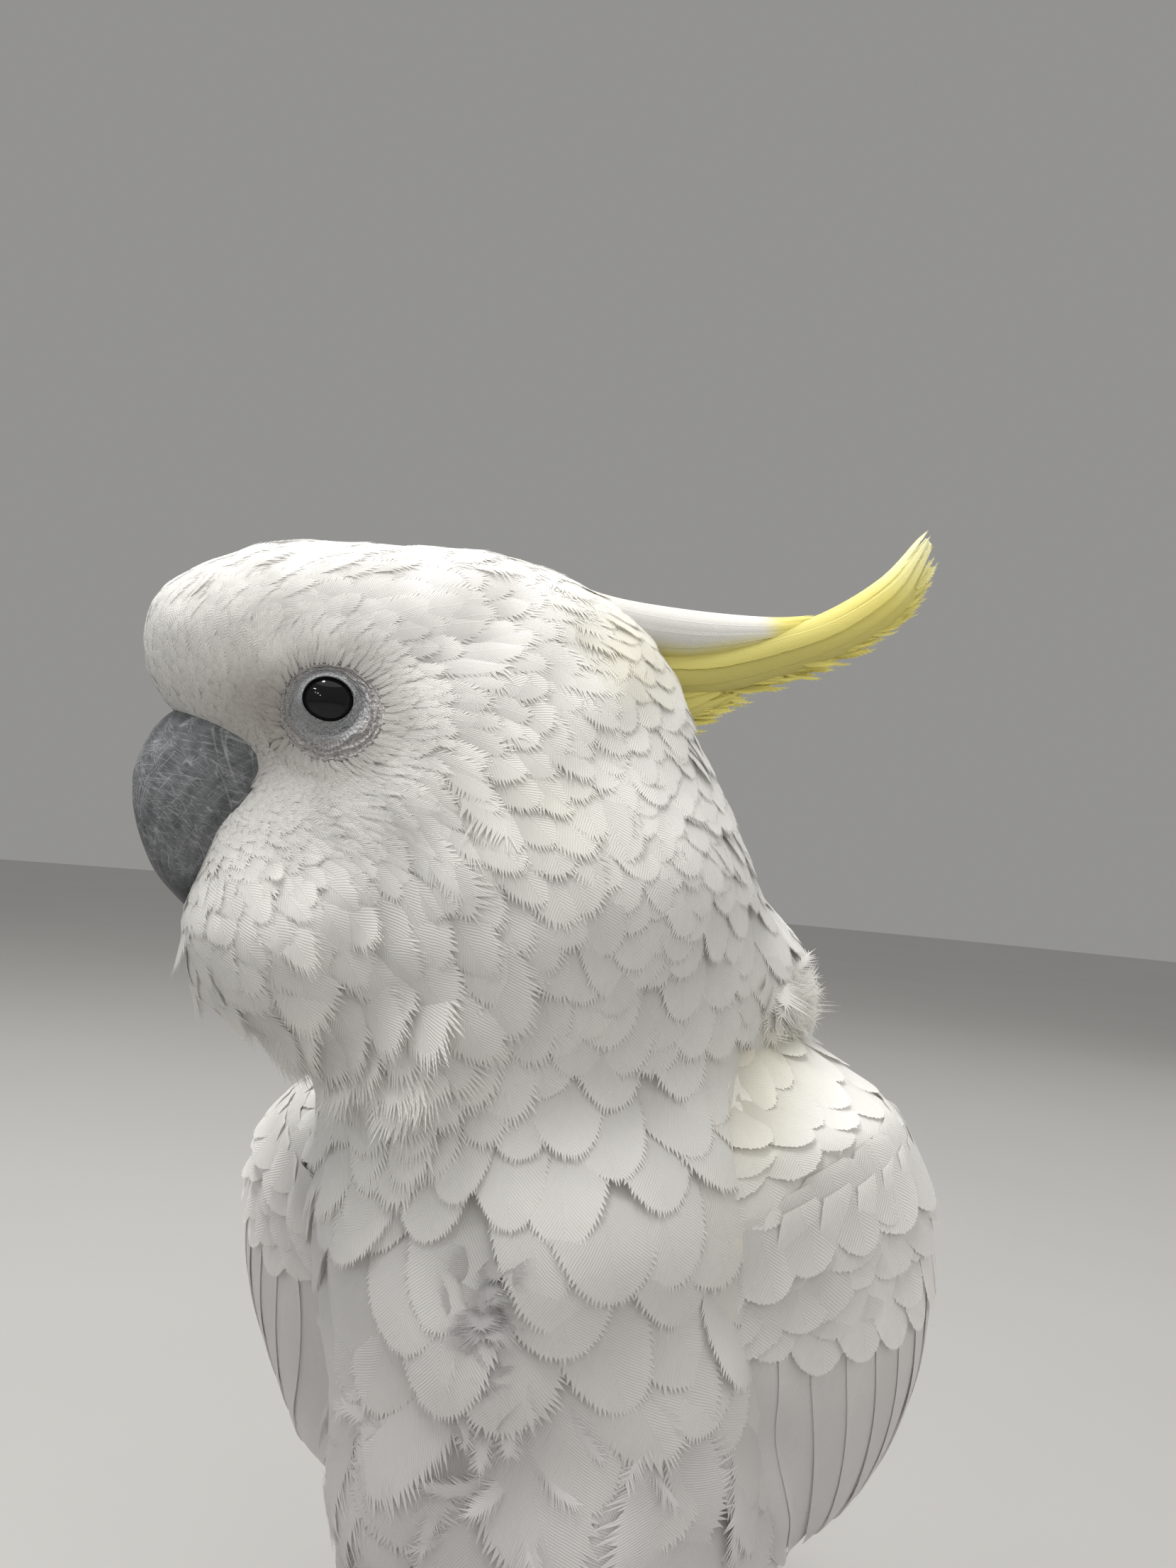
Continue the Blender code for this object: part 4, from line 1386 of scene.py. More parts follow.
@dataclass(frozen=True)
class BodyCoat:
    """Contour feathers over the whole form, laid along the lie of the coat."""

    seed: int = 7
    walk: int = 6               # places on each feather's middle line

    def darts(self, surface: Array, triangles: Array, rng: np.random.Generator) -> Array:
        """Strews places over the form, closer where the feathers stand closer.

        Args:
            surface: corners on the form.
            triangles: corner numbers.
            rng: seeded random numbers.

        Returns:
            The places, in random order.
        """
        a, b, c = (surface[triangles[:, k]] for k in range(3))
        area = np.linalg.norm(np.cross(b - a, c - a), axis=1) / 2
        spacing = PLAN.spacing(Place.of((a + b + c) / 3))
        which = np.repeat(np.arange(len(triangles)), rng.poisson(area / spacing**2 * 6.0))
        first, second = rng.random((2, len(which)))
        flip = first + second > 1
        first, second = np.where(flip, 1 - first, first), np.where(flip, 1 - second, second)
        places = a[which] + (b - a)[which] * first[:, None] + (c - a)[which] * second[:, None]
        return places[rng.permutation(len(places))]

    def roots(self, surface: Array, triangles: Array) -> Array:
        """Roots an even distance apart: seeded darts, each clearing its own ring.

        Args:
            surface: corners on the form.
            triangles: corner numbers.

        Returns:
            Root places on the form.
        """
        darts = self.darts(surface, triangles, np.random.default_rng(self.seed))
        darts = darts[self.allowed(Place.of(darts))]
        radius = PLAN.spacing(Place.of(darts))
        tree = kdtree.KDTree(len(darts))
        for number, dart in enumerate(darts):
            tree.insert(dart, number)
        tree.balance()
        free = np.ones(len(darts), bool)
        for number, dart in enumerate(darts):
            if free[number]:
                for _, other, _ in tree.find_range(dart, radius[number]):
                    free[other] = other == number
        LOG.info("coat: %d roots of %d darts", free.sum(), len(darts))
        return FORM.settle(darts[free], 0.0)

    def allowed(self, place: Place) -> Array:
        """Leaves bare the eye ring, the bill's own ground and the bottoms of the thighs.

        Args:
            place: readings of some places.

        Returns:
            Whether a feather may grow at each.
        """
        bill_floor = np.interp(place.height, [0.200, 0.2155, 0.222, 0.231, 0.240],
                               [0.0270, 0.0180, 0.0120, 0.0240, 0.0330])
        on_bill = (place.ahead > bill_floor) & (place.height < 0.2385) & (place.height > 0.205)
        return (place.eye > 0.93) & ~on_bill & (place.height > 0.0265)

    def lines(self, roots: Array, place: Place, length: Array, rng: np.random.Generator,
              patch: Patch) -> tuple[Array, Array, Array]:
        """Walks each feather's middle line over the form, from its root along the lie.

        The line starts at the skin and comes up to the tip's lift, swelling on the way by
        puff sin(pi along^2.2).

        Args:
            roots: root places.
            place: their readings.
            length: the feathers' lengths.
            rng: seeded random numbers.
            patch: the region's own habits.

        Returns:
            Points, normals and sideways vectors, each (count, walk, 3).
        """
        count = len(roots)
        depth = PLAN.depth(place) * 0.85
        lift = (PLAN.lift(place) + patch.stand * length) * rng.uniform(0.6, 1.5, count)
        wild = PLAN.wild(place)
        stray = (rng.normal(0, 1, count) * (0.08 + 0.10 * patch.loose + 0.16 * wild)
                 + (0.12 + 0.40 * wild) * ripple(roots, 0.03, 5))
        bend = rng.normal(0, 0.05 + 0.12 * patch.loose, count)
        spot = roots
        line, normals, sides = [], [], []
        for s in np.linspace(0, 1, self.walk):
            normal = FORM.slope(spot)
            heading = lie(spot, normal)
            angle = (stray + bend * s)[:, None]
            heading = heading * np.cos(angle) + np.cross(heading, normal) * np.sin(angle)
            swell = patch.puff * length * math.sin(math.pi * s**2.2)
            level = -depth * (1 - s)**3 + lift * (s - 0.45) + swell
            line.append(FORM.settle(spot, 0.0, 1) + normal * level[:, None])
            normals.append(normal)
            sides.append(np.cross(heading, normal))
            spot = spot + heading * (length / (self.walk - 1))[:, None]
        return tuple(np.stack(a, 1) for a in (line, normals, sides))

    def lay(self, roots: Array, plumage: Plumage, rng: np.random.Generator, patch: Patch) -> Laid:
        """Hangs a vane on each middle line.

        The vane bends down to either side as the form does and a little more, so that
        every feather is a shallow pillow with its edges tucked in.

        Args:
            roots: root places.
            plumage: the drawn vanes.
            rng: seeded random numbers.
            patch: the region's own habits.

        Returns:
            The vanes in their places.
        """
        count = len(roots)
        place = Place.of(roots)
        length = PLAN.length(place) * rng.uniform(0.85, 1.15, count) * patch.size
        width = PLAN.width(place) * rng.uniform(0.88, 1.12, count) * patch.slim
        line, normals, sides = self.lines(roots, place, length, rng, patch)
        where = np.clip(plumage.along, 0, 1) * (self.walk - 1)
        low = np.minimum(where.astype(int), self.walk - 2)
        part = (where - low)[..., None]
        row = np.arange(count)[:, None]
        centre, normal, side = (values[row, low] * (1 - part) + values[row, low + 1] * part
                                for values in (line, normals, sides))
        normal, side = unit(normal), unit(side)
        over = np.maximum(plumage.along - 1, 0)[..., None] * length[:, None, None]
        run = unit(line[:, -1] - line[:, -2])[:, None]
        half = plumage.across * width[:, None] / 2
        radius = (0.022 + 0.026 * place.body)[:, None]
        camber = half**2 / (2 * radius) + patch.tuck * half**2 / width[:, None]
        roll = rng.normal(0, 0.06 + 0.10 * patch.loose, count)[:, None]
        flare = patch.flare * length[:, None] * np.maximum(plumage.along - 0.6, 0)**2
        points = (centre + run * over + side * half[..., None]
                  + normal * (half * roll - camber + flare)[..., None])
        return Laid(points, length, width, unit(normal + side * (half / radius)[..., None]))

    def plant(self, name: str, roots: Array, patch: Patch, seed: int, rng: np.random.Generator,
              finishes: Finishes, tone: tuple[float, float, float] = (1.0, 1.0, 1.0)) -> None:
        """Grows one piece of the coat, each feather a touch lighter or darker than the markings.

        Args:
            name: the piece's name.
            roots: root places.
            patch: the region's own habits.
            seed: picks the barbs' lengths.
            rng: seeded random numbers.
            finishes: the bird's materials.
            tone: multiplies the colours.
        """
        plumage = Plumage(patch.cut, seed, len(roots))
        laid = self.lay(roots, plumage, rng, patch)
        tint = markings(roots) * rng.uniform(0.96, 1.03, (len(roots), 1)) * tone
        plumage.build(name, laid, tint[:, None], SKIN.unwrap(roots), finishes[patch.finish], patch.soft)

    def make(self, surface: Array, triangles: Array, finishes: Finishes) -> None:
        """Sorts the roots into regions, each taking what those before it left, and adds the tufts.

        Args:
            surface: corners on the form.
            triangles: corner numbers.
            finishes: the bird's materials.
        """
        roots = self.roots(surface, triangles)
        place = Place.of(roots)
        height = place.height
        front, head = PLAN.front(place) > 0.5, place.head > 0.45
        middle = np.abs(roots[:, 0] - SHIFT[0]) < 0.024
        regions = (PLAN.chin(place) > 0.3, (place.bill < 0.026) | (head & (place.eye < 1.7)),
                   head & (PLAN.crown(place) > 0.4), head & (PLAN.ears(place) > 0.35), head,
                   height < 0.056, (height > 0.188) & (place.aside > 0), height > 0.188,
                   front & ((height < 0.118) | ((height < 0.142) & middle)), front, ~front)
        taken = np.zeros(len(roots), bool)
        for number, ((name, patch), region) in enumerate(zip(PATCHES.items(), regions)):
            rng = np.random.default_rng(self.seed + number)
            self.plant(name, roots[region & ~taken], patch, self.seed * 10 + number, rng, finishes)
            taken |= region
        for number, tuft in enumerate(TUFTS):
            rng = np.random.default_rng(900 + number)
            spots = np.array(tuft.middle) + SHIFT + rng.normal(0, 1, (tuft.count, 3)) * tuft.reach
            self.plant(tuft.name, FORM.settle(spots, 0.0, 3), tuft.patch, 950 + number, rng, finishes,
                       tuft.tone)


# ---------------------------------------------------------- feathers on a drawn surface
class GridSurface:
    """A surface kept as a fine grid of points, read between its corners."""

    def __init__(self, grid: Array, inside: Array) -> None:
        """Keeps the grid and its normals, turned outwards.

        Args:
            grid: (rows along, columns across, 3).
            inside: a point on the inner side, or one for each row.
        """
        self.grid = grid
        normal = unit(np.cross(np.gradient(grid, axis=1), np.gradient(grid, axis=0)))
        self.hand = 1.0 if dot(grid - inside, normal).mean() > 0 else -1.0
        self.normals = normal * self.hand

    def read(self, along: Array, across: Array) -> tuple[Array, Array]:
        """Blends each four neighbouring corners, running straight on past the edges.

        Args:
            along: shares along the rows.
            across: shares across them.

        Returns:
            Points and normals.
        """
        rows, columns = self.grid.shape[:2]
        u, v = along * (rows - 1), across * (columns - 1)
        i = np.clip(np.floor(u).astype(int), 0, rows - 2)
        j = np.clip(np.floor(v).astype(int), 0, columns - 2)

        def blend(values: Array, a: Array, b: Array) -> Array:
            """Two-way straight blend of four neighbours."""
            return ((values[i, j] * (1 - b) + values[i, j + 1] * b) * (1 - a)
                    + (values[i + 1, j] * (1 - b) + values[i + 1, j + 1] * b) * a)

        a, b = (u - i)[..., None], (v - j)[..., None]
        return blend(self.grid, a, b), unit(blend(self.normals, np.clip(a, 0, 1), np.clip(b, 0, 1)))


@dataclass(frozen=True)
class Strip:
    """Where the feathers of a row lie on a drawn surface; a single number is the same for all."""

    start: Array                # share along at the root
    stop: Array | float         # share along at the tip
    middle: Array               # share across at the root
    drift: Array | float        # change of share across by the tip
    half: Array | float         # half-width in shares across
    base: Array | float         # height of the root over the surface
    lift: Array | float         # height gained by the tip
    tilt: Array | float         # height gained from one edge to the other
    camber: float               # how far both edges bend down

    def lay(self, surface: GridSurface, plumage: Plumage) -> Laid:
        """Hangs vanes on a drawn surface.

        A corner sits at start + (stop - start) along, middle + drift along^1.5 + half across,
        raised by base + lift along^1.5 + tilt across - camber across^2.

        Args:
            surface: the surface.
            plumage: the drawn vanes.

        Returns:
            The vanes in their places.
        """
        along, across = plumage.along, plumage.across * surface.hand
        fields = (self.start, self.stop, self.middle, self.drift, self.half, self.base, self.lift, self.tilt)
        columns = np.broadcast_arrays(*fields)
        start, stop, middle, drift, half, base, lift, tilt = (values[:, None] for values in columns)
        points, normals = surface.read(start + (stop - start) * along,
                                       middle + drift * along**1.5 + half * across)
        rise = base + lift * along**1.5 + tilt * across - self.camber * across**2
        rows = np.linspace(0, 1, 12)
        line, _ = surface.read(start + (stop - start) * rows, middle + 0 * rows)
        (left, _), (right, _) = (surface.read((start + stop)[:, 0] / 2, (middle + edge)[:, 0])
                                 for edge in (-half, half))
        return Laid(points + normals * rise[..., None],
                    np.linalg.norm(np.diff(line, axis=1), axis=-1).sum(1),
                    np.linalg.norm(right - left, axis=-1), normals)


# ---------------------------------------------------------- wings
class Side(Enum):
    """Left and right, with the sign of +X."""

    LEFT = 1
    RIGHT = -1

    @property
    def label(self) -> str:
        """The side's name in piece names."""
        return self.name.lower()


@dataclass(frozen=True)
class Wing:
    """A folded wing: a soft pad, rows of coverts, then the long flight feathers."""

    side: Side
    raise_by: float             # how far the shoulder stands above the drawn one
    spread: float               # how far the front edge stands out over the flank
    bulge: float                # stretches the outer line sideways
    margin_end: float           # share along where the small coverts of the front edge end
    room: float = 0.0046        # clearance over the body
    wrap: float = 0.12          # how far the front edge turns in to the body
    coverts_end: float = 0.19   # share along where the small coverts end
    front: tuple = ((.042, -.036, .172), (.050, -.032, .142), (.054, -.018, .104),
                    (.051, .004, .072), (.041, .050, .046), (.020, .140, .0270))
    outer: tuple = ((.050, -.008, .186), (.0725, -.002, .162), (.0765, .010, .124),
                    (.063, .042, .082), (.042, .090, .054), (.0205, .142, .0300))
    back: tuple = ((.032, .024, .186), (.024, .053, .162), (.016, .075, .124),
                   (.010, .092, .088), (.006, .114, .058), (.0155, .143, .0320))

    def line(self, drawn: tuple, share: Array) -> Array:
        """One of the three drawn lines, put on its side of the body and raised at the shoulder.

        Args:
            drawn: the line's points, for a left wing.
            share: places along it.

        Returns:
            Points before the wing is laid on the body.
        """
        line = curve(drawn, share)
        line[:, 0] *= self.side.value
        line[:, 2] += self.raise_by * np.clip(1.25 - 1.5 * share, 0, 1)
        if drawn is self.front:
            line[:, 0] += self.side.value * self.spread * bell((share - 0.66) / 0.2)
        return line

    def front_line(self, count: int) -> Array:
        """Points of the front edge, before the wing is laid on the body."""
        return self.line(self.front, np.linspace(0.02, 0.62, count))

    def surface(self, sunk: float, rows: int = 81, columns: int = 41) -> GridSurface:
        """The wing's outer face, pushed clear of the body and sunk by the coat's depth.

        Across the wing a point is (1-a)^2 front + 2a(1-a) pull + a^2 back, where pull makes the
        middle pass through the outer line. At the top and along the edges it dips into the body.

        Args:
            sunk: how far it lies under the feathers' tops.
            rows: corners along the wing.
            columns: corners across it.

        Returns:
            The face.
        """
        share = np.linspace(0, 1, rows)
        front, outer, back = (self.line(line, share) for line in (self.front, self.outer, self.back))
        outer[:, 0] *= self.bulge
        a = np.linspace(-self.wrap, 1, columns)
        across = a[None, :, None]
        pull = 2 * outer - (front + back) / 2
        grid = ((1 - across)**2 * front[:, None] + 2 * across * (1 - across) * pull[:, None]
                + across**2 * back[:, None])
        share = share[:, None]
        top = ease(0.0, 0.11 + 0.14 * np.clip(a, 0, 1), share)
        edge = 1 - (1 - ease(-self.wrap, 0.0, a)) * (1 - ease(0.50, 0.75, share))
        behind = 1 - ease(0.72, 1.0, a) * (1 - ease(0.14, 0.36, share))
        free = top * edge * behind
        grid = FORM.clear(grid + SHIFT, -0.002 + (self.room + 0.002) * free)
        grid = mixed(FORM.settle(grid, -0.002), grid, free)
        middle = np.array([0.0, 0.02, 0.10]) + SHIFT
        return GridSurface(grid - GridSurface(grid, middle).normals * sunk, middle)

    def make_pad(self, finish: Material) -> None:
        """The soft pad under the feathers: the outer face and a thinner inner one, closed.

        Args:
            finish: the skin's material.
        """
        outer = self.surface(0.0022, 61, 25)
        length = np.linspace(0, 1, 61)[:, None]
        across = np.linspace(-1, 1, 25)[None]
        thick = 0.0008 + (0.0100 * (1 - length)**0.9 * ease(0.0, 0.16, length) + 0.0004) * (1 - across**4)
        room = np.minimum(0.0012, FORM.distance(outer.grid) - 0.0010)
        inner = FORM.clear(outer.grid - outer.normals * thick[..., None], room)
        rings = np.concatenate([outer.grid, inner[:, ::-1]], 1)[:-13]
        label = self.side.label
        pad = put_pad(f"{label}_wing_pad", rings, finish, markings, 0.85)
        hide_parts(f"{label}_wing_coverts", f"{label}_wing_secondaries",
                    f"{label}_wing_primaries")

    def covert_rows(self, rng: np.random.Generator) -> Strip:
        """Small coverts in overlapping rows, each row half a step from the last.

        Args:
            rng: seeded random numbers.

        Returns:
            The feathers' places.
        """
        parts = []
        for number, t in enumerate(np.arange(-0.03, self.coverts_end, 0.030)):
            step = np.interp(t, [-0.04, 0.19], [0.10, 0.125])
            a = np.arange(0.02 - self.wrap, 0.96, step) + (number % 2) * step / 2
            start = t + 0.005 * rng.normal(size=len(a)) - 0.02 * np.abs(a - 0.45)
            reach = np.interp(t, [-0.04, 0.19], [0.075, 0.105]) * rng.uniform(0.9, 1.15, len(a))
            a = a + rng.normal(0, 0.010, len(a))
            parts.append(np.column_stack([start, start + reach, a, 0 * a + step * 0.80]))
        for number, t in enumerate(np.arange(self.coverts_end - 0.03, self.margin_end, 0.032)):
            a = np.arange(0.02 - self.wrap, 0.30, 0.085) + (number % 2) * 0.040
            start = t + 0.006 * rng.normal(size=len(a))
            parts.append(np.column_stack([start, start + 0.085, a, 0 * a + 0.062]))
        start, stop, middle, half = np.vstack(parts).T
        count = len(start)
        base = np.where(start > self.coverts_end - 0.045, 0.0002, -0.0016)
        return Strip(start, stop, middle, rng.normal(0, 0.01, count), half, base,
                     rng.uniform(0.0018, 0.0029, count) + base * 0.4, rng.normal(0, 0.0003, count), 0.0009)

    def greater_rows(self, rng: np.random.Generator) -> Strip:
        """Greater coverts: one row of long rounded feathers under the small ones.

        Args:
            rng: seeded random numbers.

        Returns:
            The feathers' places.
        """
        middle = np.linspace(0.06, 0.93, 13)
        start = self.coverts_end - 0.02 + 0.015 * np.sin(middle * 3) + rng.normal(0, 0.004, 13)
        return Strip(start, start + 0.17, middle, 0.0, 0.060, 0.0010, rng.uniform(0.0008, 0.0014, 13),
                     -0.0006, 0.0006)

    def flight_rows(self, rng: np.random.Generator) -> Strip:
        """Nineteen secondaries, then twelve primaries, each edge lying over the next one's.

        Args:
            rng: seeded random numbers.

        Returns:
            The feathers' places.
        """
        first, second = np.linspace(0.98, 0.04 - self.wrap, 19), np.linspace(0.90, 0.0, 12)
        start = np.concatenate([self.coverts_end - 0.01 + 0.05 * (1 - first), np.full(12, 0.36)])
        stop = np.concatenate([0.66 + 0.12 * first + 0.016 * rng.normal(size=19),
                               0.86 + 0.13 * np.linspace(1, 0, 12)**0.8])
        drift = np.concatenate([np.full(19, 0.02), 0.10 * (0.5 - second)])
        layer = np.concatenate([np.linspace(0.0012, 0.0006, 19), np.linspace(0.0, -0.0008, 12)])
        return Strip(start, stop, np.concatenate([first, second]), drift, 0.060, layer - 0.0004, 0.0010,
                     rng.uniform(-0.0009, -0.00078, 31), 0.0005)

    def make(self, finishes: Finishes) -> None:
        """Builds the pad and the three sets of feathers.

        Args:
            finishes: the bird's materials.
        """
        self.make_pad(finishes["skin"])
        surface = self.surface(0.0010)
        seed = 40 + self.side.value
        rng = np.random.default_rng(seed)
        # painted light: the greater coverts and flight feathers are made 1.17 times lighter, to offset the
        # shade on the wing's upright face
        sets = (
            ("small_coverts", self.covert_rows(rng), "soft", 1.0,
             VaneCut(9, 12, 0.45, 0.55, 0.94, 0.46, 0.03, 0.5, 0.8, 3.0)),
            ("greater_coverts", self.greater_rows(rng), "quill", 1.17,
             VaneCut(18, 12, 0.5, 0.5, 0.9, 0.28, 0.012, 0.6, 0.7, 6.0)),
            ("flight_feathers", self.flight_rows(rng), "quill", 1.17,
             VaneCut(40, 10, 0.45, 0.35, 0.7, 0.09, 0.006, 0.7, 0.8, 12.0)),
        )
        for number, (name, strip, kind, painted_light_gain, cut) in enumerate(sets):
            strip = replace(strip, middle=(strip.middle + self.wrap) / (1 + self.wrap),
                            half=strip.half / (1 + self.wrap))
            plumage = Plumage(cut, seed + number, len(strip.start))
            laid = strip.lay(surface, plumage)
            # times the painted light gain of the upright wing feathers
            tint = markings(laid.points) * rng.uniform(0.96, 1.03, (len(strip.start), 1, 1)) * painted_light_gain
            roots = 0.05 + 0.9 * np.clip(np.stack([strip.start, strip.middle], -1), 0, 1)
            plumage.build(f"{self.side.label}_{name}", laid, tint, roots, finishes[kind], 0.5)


WINGS = (Wing(Side.LEFT, 0.003, 0.0, 1.0, 0.25),
         Wing(Side.RIGHT, -0.011, 0.011, 0.96, 0.20, coverts_end=0.14))


# ---------------------------------------------------------- tail
@dataclass(frozen=True)
class Tail:
    """Twelve long feathers in a shallow fan, with soft coverts over and under their roots."""

    stations: tuple = ((.050, .066, .016, .0060), (.080, .047, .023, .0050), (.115, .027, .029, .0038),
                       (.150, .0135, .035, .0028), (.190, .0052, .040, .0021), (.225, .0018, .043, .0018),
                       (.238, .0016, .040, .0015))      # back, height, half-width, half-thickness
    arch: float = 0.004         # how far the edges bend down at the root
    rounding: float = 0.010     # how far the outer feathers fall short of the middle ones

    def surface(self, sign: float, rows: int = 61, columns: int = 31) -> GridSurface:
        """Upper or under face: z = height +- thick (1 - c^6) - arch (1 - share) c^2.

        Args:
            sign: one for the upper face, minus one for the under.
            rows: corners along the tail.
            columns: corners across it.

        Returns:
            The face.
        """
        back, height, half, thick = curve(self.stations, np.linspace(0, 1, rows)).T[..., None]
        c = np.linspace(-1, 1, columns)[None]
        share = back / self.stations[-1][0]
        z = height + sign * thick * (1 - c**6) * 0.8 - self.arch * (1 - share) * c**2
        y = back - self.rounding * share**8 * c**2
        grid = np.stack([half * c, y + 0 * c, np.maximum(z, 0.0006)], -1) + SHIFT
        return GridSurface(grid, np.stack([0 * half, back, height], -1) + SHIFT)

    def make(self, finishes: Finishes) -> None:
        """Builds the long feathers, the coverts over and under them, and the pad inside.

        Args:
            finishes: the bird's materials.
        """
        rng = np.random.default_rng(70)
        order = np.arange(12) - 5.5
        beside = np.abs(order) / 5.5
        top, low = self.surface(1.0), self.surface(-1.0)
        plumage = Plumage(VaneCut(44, 10, 0.5, 0.6, 0.8, 0.07, 0.006, 0.8, 0.7, 12.0), 71, 12)
        strip = Strip(np.zeros(12), 1.0 - 0.05 * beside**2 + rng.normal(0, 0.004, 12), 0.5 + order * 0.052,
                      order * 0.026, 0.074, 0.0022 - 0.0022 * beside + 0.0002 * np.sign(order), -0.0002,
                      0.0002 * np.sign(order), 0.0004)
        laid = strip.lay(top, plumage)
        laid.points[..., 2] = np.maximum(laid.points[..., 2], 0.0005)
        roots = np.stack([0.1 + 0.06 * (order + 5.5), 0.2 + 0 * order], -1)
        long_feathers = plumage.build("tail_feathers", laid, markings(laid.points), roots,
                                      finishes["quill"], 0.3)
        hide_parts("tail")
        for name, surface, count, reach in (("tail_upper_coverts", top, 60, 0.30),
                                            ("tail_under_coverts", low, 70, 0.34)):
            plumage = Plumage(VaneCut(8, 8, 0.4, 0.6, 0.66, 0.36, 0.08, 0.5, 0.8, 3.5), 72 + count, count)
            start = np.sort(rng.uniform(-0.14, 0.22, count))
            strip = Strip(start, start + reach * rng.uniform(0.55, 1.0, count),
                          rng.uniform(0.05, 0.95, count), rng.normal(0, 0.03, count), 0.16, 0.0003,
                          rng.uniform(0.0006, 0.0020, count), rng.normal(0, 0.0006, count), 0.001)
            laid = strip.lay(surface, plumage)
            laid.points[..., 2] = np.maximum(laid.points[..., 2], 0.0007)
            roots = np.stack([0.1 + 0.8 * strip.middle, 0.3 + start], -1)
            plumage.build(name, laid, markings(laid.points), roots, finishes["soft"], 0.4)
        above, below = ((face.grid - face.normals * 0.0009)[:-24, 4:-4] for face in (top, low))
        put_pad("tail_pad", np.concatenate([above, below[:, ::-1]], 1), finishes["skin"], markings)


# ---------------------------------------------------------- crest
CREST_WHITE, CREST_YELLOW, CREST_TIP = np.array([(0.80, 0.795, 0.755), (0.83, 0.755, 0.225),
                                                 (0.86, 0.84, 0.50)])


@dataclass(frozen=True)
class CrestBundle:
    """One bundle of crest plumes: an oval blade in the head's middle plane, dressed in vanes."""

    name: str
    node: str
    upper: tuple
    lower: tuple
    widths: tuple
    yellow_from: float          # distance behind the eyes where white turns to yellow
    tiers: tuple                # (degrees round the blade, start, stop)
    half: float                 # half-width of a vane, in degrees
    fringe: float               # length of the vanes' free barbs
    strands: int = 0            # loose barbs along the lower edge

    def surface(self, rows: int = 61, columns: int = 61) -> GridSurface:
        """The blade: middle + cos(w) reach + sin(w) half-width, w from -pi to pi over the top.

        Args:
            rows: corners along the blade.
            columns: corners round it.

        Returns:
            The blade's face.
        """
        middle, reach, half = ridges(self.upper, self.lower, self.widths, rows)
        w = np.linspace(-math.pi, math.pi, columns)
        ahead, height = (middle[:, None, k] + np.cos(w) * reach[:, None, k] for k in range(2))
        grid = HEAD.place(ahead, np.sin(w) * np.maximum(half, 0.0004)[:, None], height)
        return GridSurface(grid, HEAD.place(middle[:, 0], 0.0, middle[:, 1])[:, None])

    def colour(self, points: Array) -> Array:
        """White near the head, yellow beyond and along the lower edge, palest at the tip.

        Args:
            points: places on the crest.

        Returns:
            Linear red, green and blue.
        """
        ahead, _, height = HEAD.read(points)
        edge = np.array(self.lower)
        above = height - np.interp(-ahead, -edge[:, 0], edge[:, 1])
        low = (1 - ease(0.0006, 0.0046, above)) * ease(0.048, 0.058, -ahead)
        share = np.maximum(ease(self.yellow_from - 0.003, self.yellow_from + 0.003, -ahead), low)
        return mixed(CREST_WHITE, mixed(CREST_YELLOW, CREST_TIP, ease(0.276, 0.294, height)), share)

    def make(self, finishes: Finishes, seed: int) -> None:
        """Builds the blade, the bundle's vanes and the fringe.

        Args:
            finishes: the bird's materials.
            seed: picks the vanes' small differences.
        """
        surface = self.surface()
        rings = surface.grid[:, :-1] - surface.normals[:, :-1] * 0.0007
        core = put_pad(f"{self.name}_core", rings, finishes["skin"], self.colour)
        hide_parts(self.node)
        place, start, stop = np.array(self.tiers).T
        count = len(place)
        rng = np.random.default_rng(seed)
        cut = VaneCut(36, 10, 0.55, 0.45, 0.40, 0.10, self.fringe, 0.12, 0.75, 9.0)
        plumage = Plumage(cut, seed, count)
        middle = 0.5 + place / 360.0
        strip = Strip(start, stop, middle, rng.normal(0, 0.01, count), self.half / 360.0,
                      np.linspace(0.0001, 0.0009, count), 0.0002, rng.normal(0, 0.0002, count), 0.0002)
        laid = strip.lay(surface, plumage)
        roots = np.stack([0.1 + 0.8 * middle, 0.2 + 0.5 * start], -1)
        plumage.build(self.name, laid, self.colour(laid.points), roots, finishes["crest"], 0.5)
        if self.strands:
            self.make_fringe(finishes["crest"], seed)

    def make_fringe(self, finish: Material, seed: int) -> None:
        """Loose barbs along the lower edge: each leaves it at a slant and bends back along it.

        Args:
            finish: the crest feathers' material.
            seed: picks the barbs' small differences.
        """
        rng = np.random.default_rng(seed + 60)
        share = np.sort(rng.uniform(0.04, 0.86, self.strands))
        spot = curve(self.lower, share)
        run = unit(curve(self.lower, share + 0.02) - spot)
        out = np.stack([run[:, 1], -run[:, 0]], -1)
        out = out * np.where(out[:, 1] > 0, -1.0, 1.0)[:, None]
        plumage = Plumage(VaneCut(8, 2, 0.8, 0.3, 0.25, 0.1, 0.22, 0.1, 0.7, 9.0, 1), seed + 61, self.strands)
        length = rng.uniform(0.008, 0.015, self.strands) * (1 - 0.5 * share)
        width = rng.uniform(0.0004, 0.0010, self.strands)
        slant = rng.normal(0.44, 0.12, self.strands)[:, None]
        aside = rng.normal(0, 0.0010, self.strands)[:, None]
        hand = np.where(aside > 0, 1.0, -1.0)
        s = plumage.along
        turned = plumage.across * width[:, None] / 2 * hand
        forward = s * np.cos(slant) * length[:, None] + turned * np.sin(slant)
        fall = (s - 0.35 * s**2) * np.sin(slant) * length[:, None] - turned * np.cos(slant)
        flat = ((spot - out * 0.0016)[:, None] + run[:, None] * forward[..., None]
                + out[:, None] * fall[..., None])
        points = HEAD.place(flat[..., 0], aside + 0 * s, flat[..., 1])
        normals = np.broadcast_to(HEAD.aside * hand[..., None], points.shape)
        roots = np.stack([0.1 + 0.8 * share, 0.85 + 0 * share], -1)
        plumage.build(f"{self.name}_fringe", Laid(points, length, width, normals), self.colour(points),
                      roots, finish, 0.4)


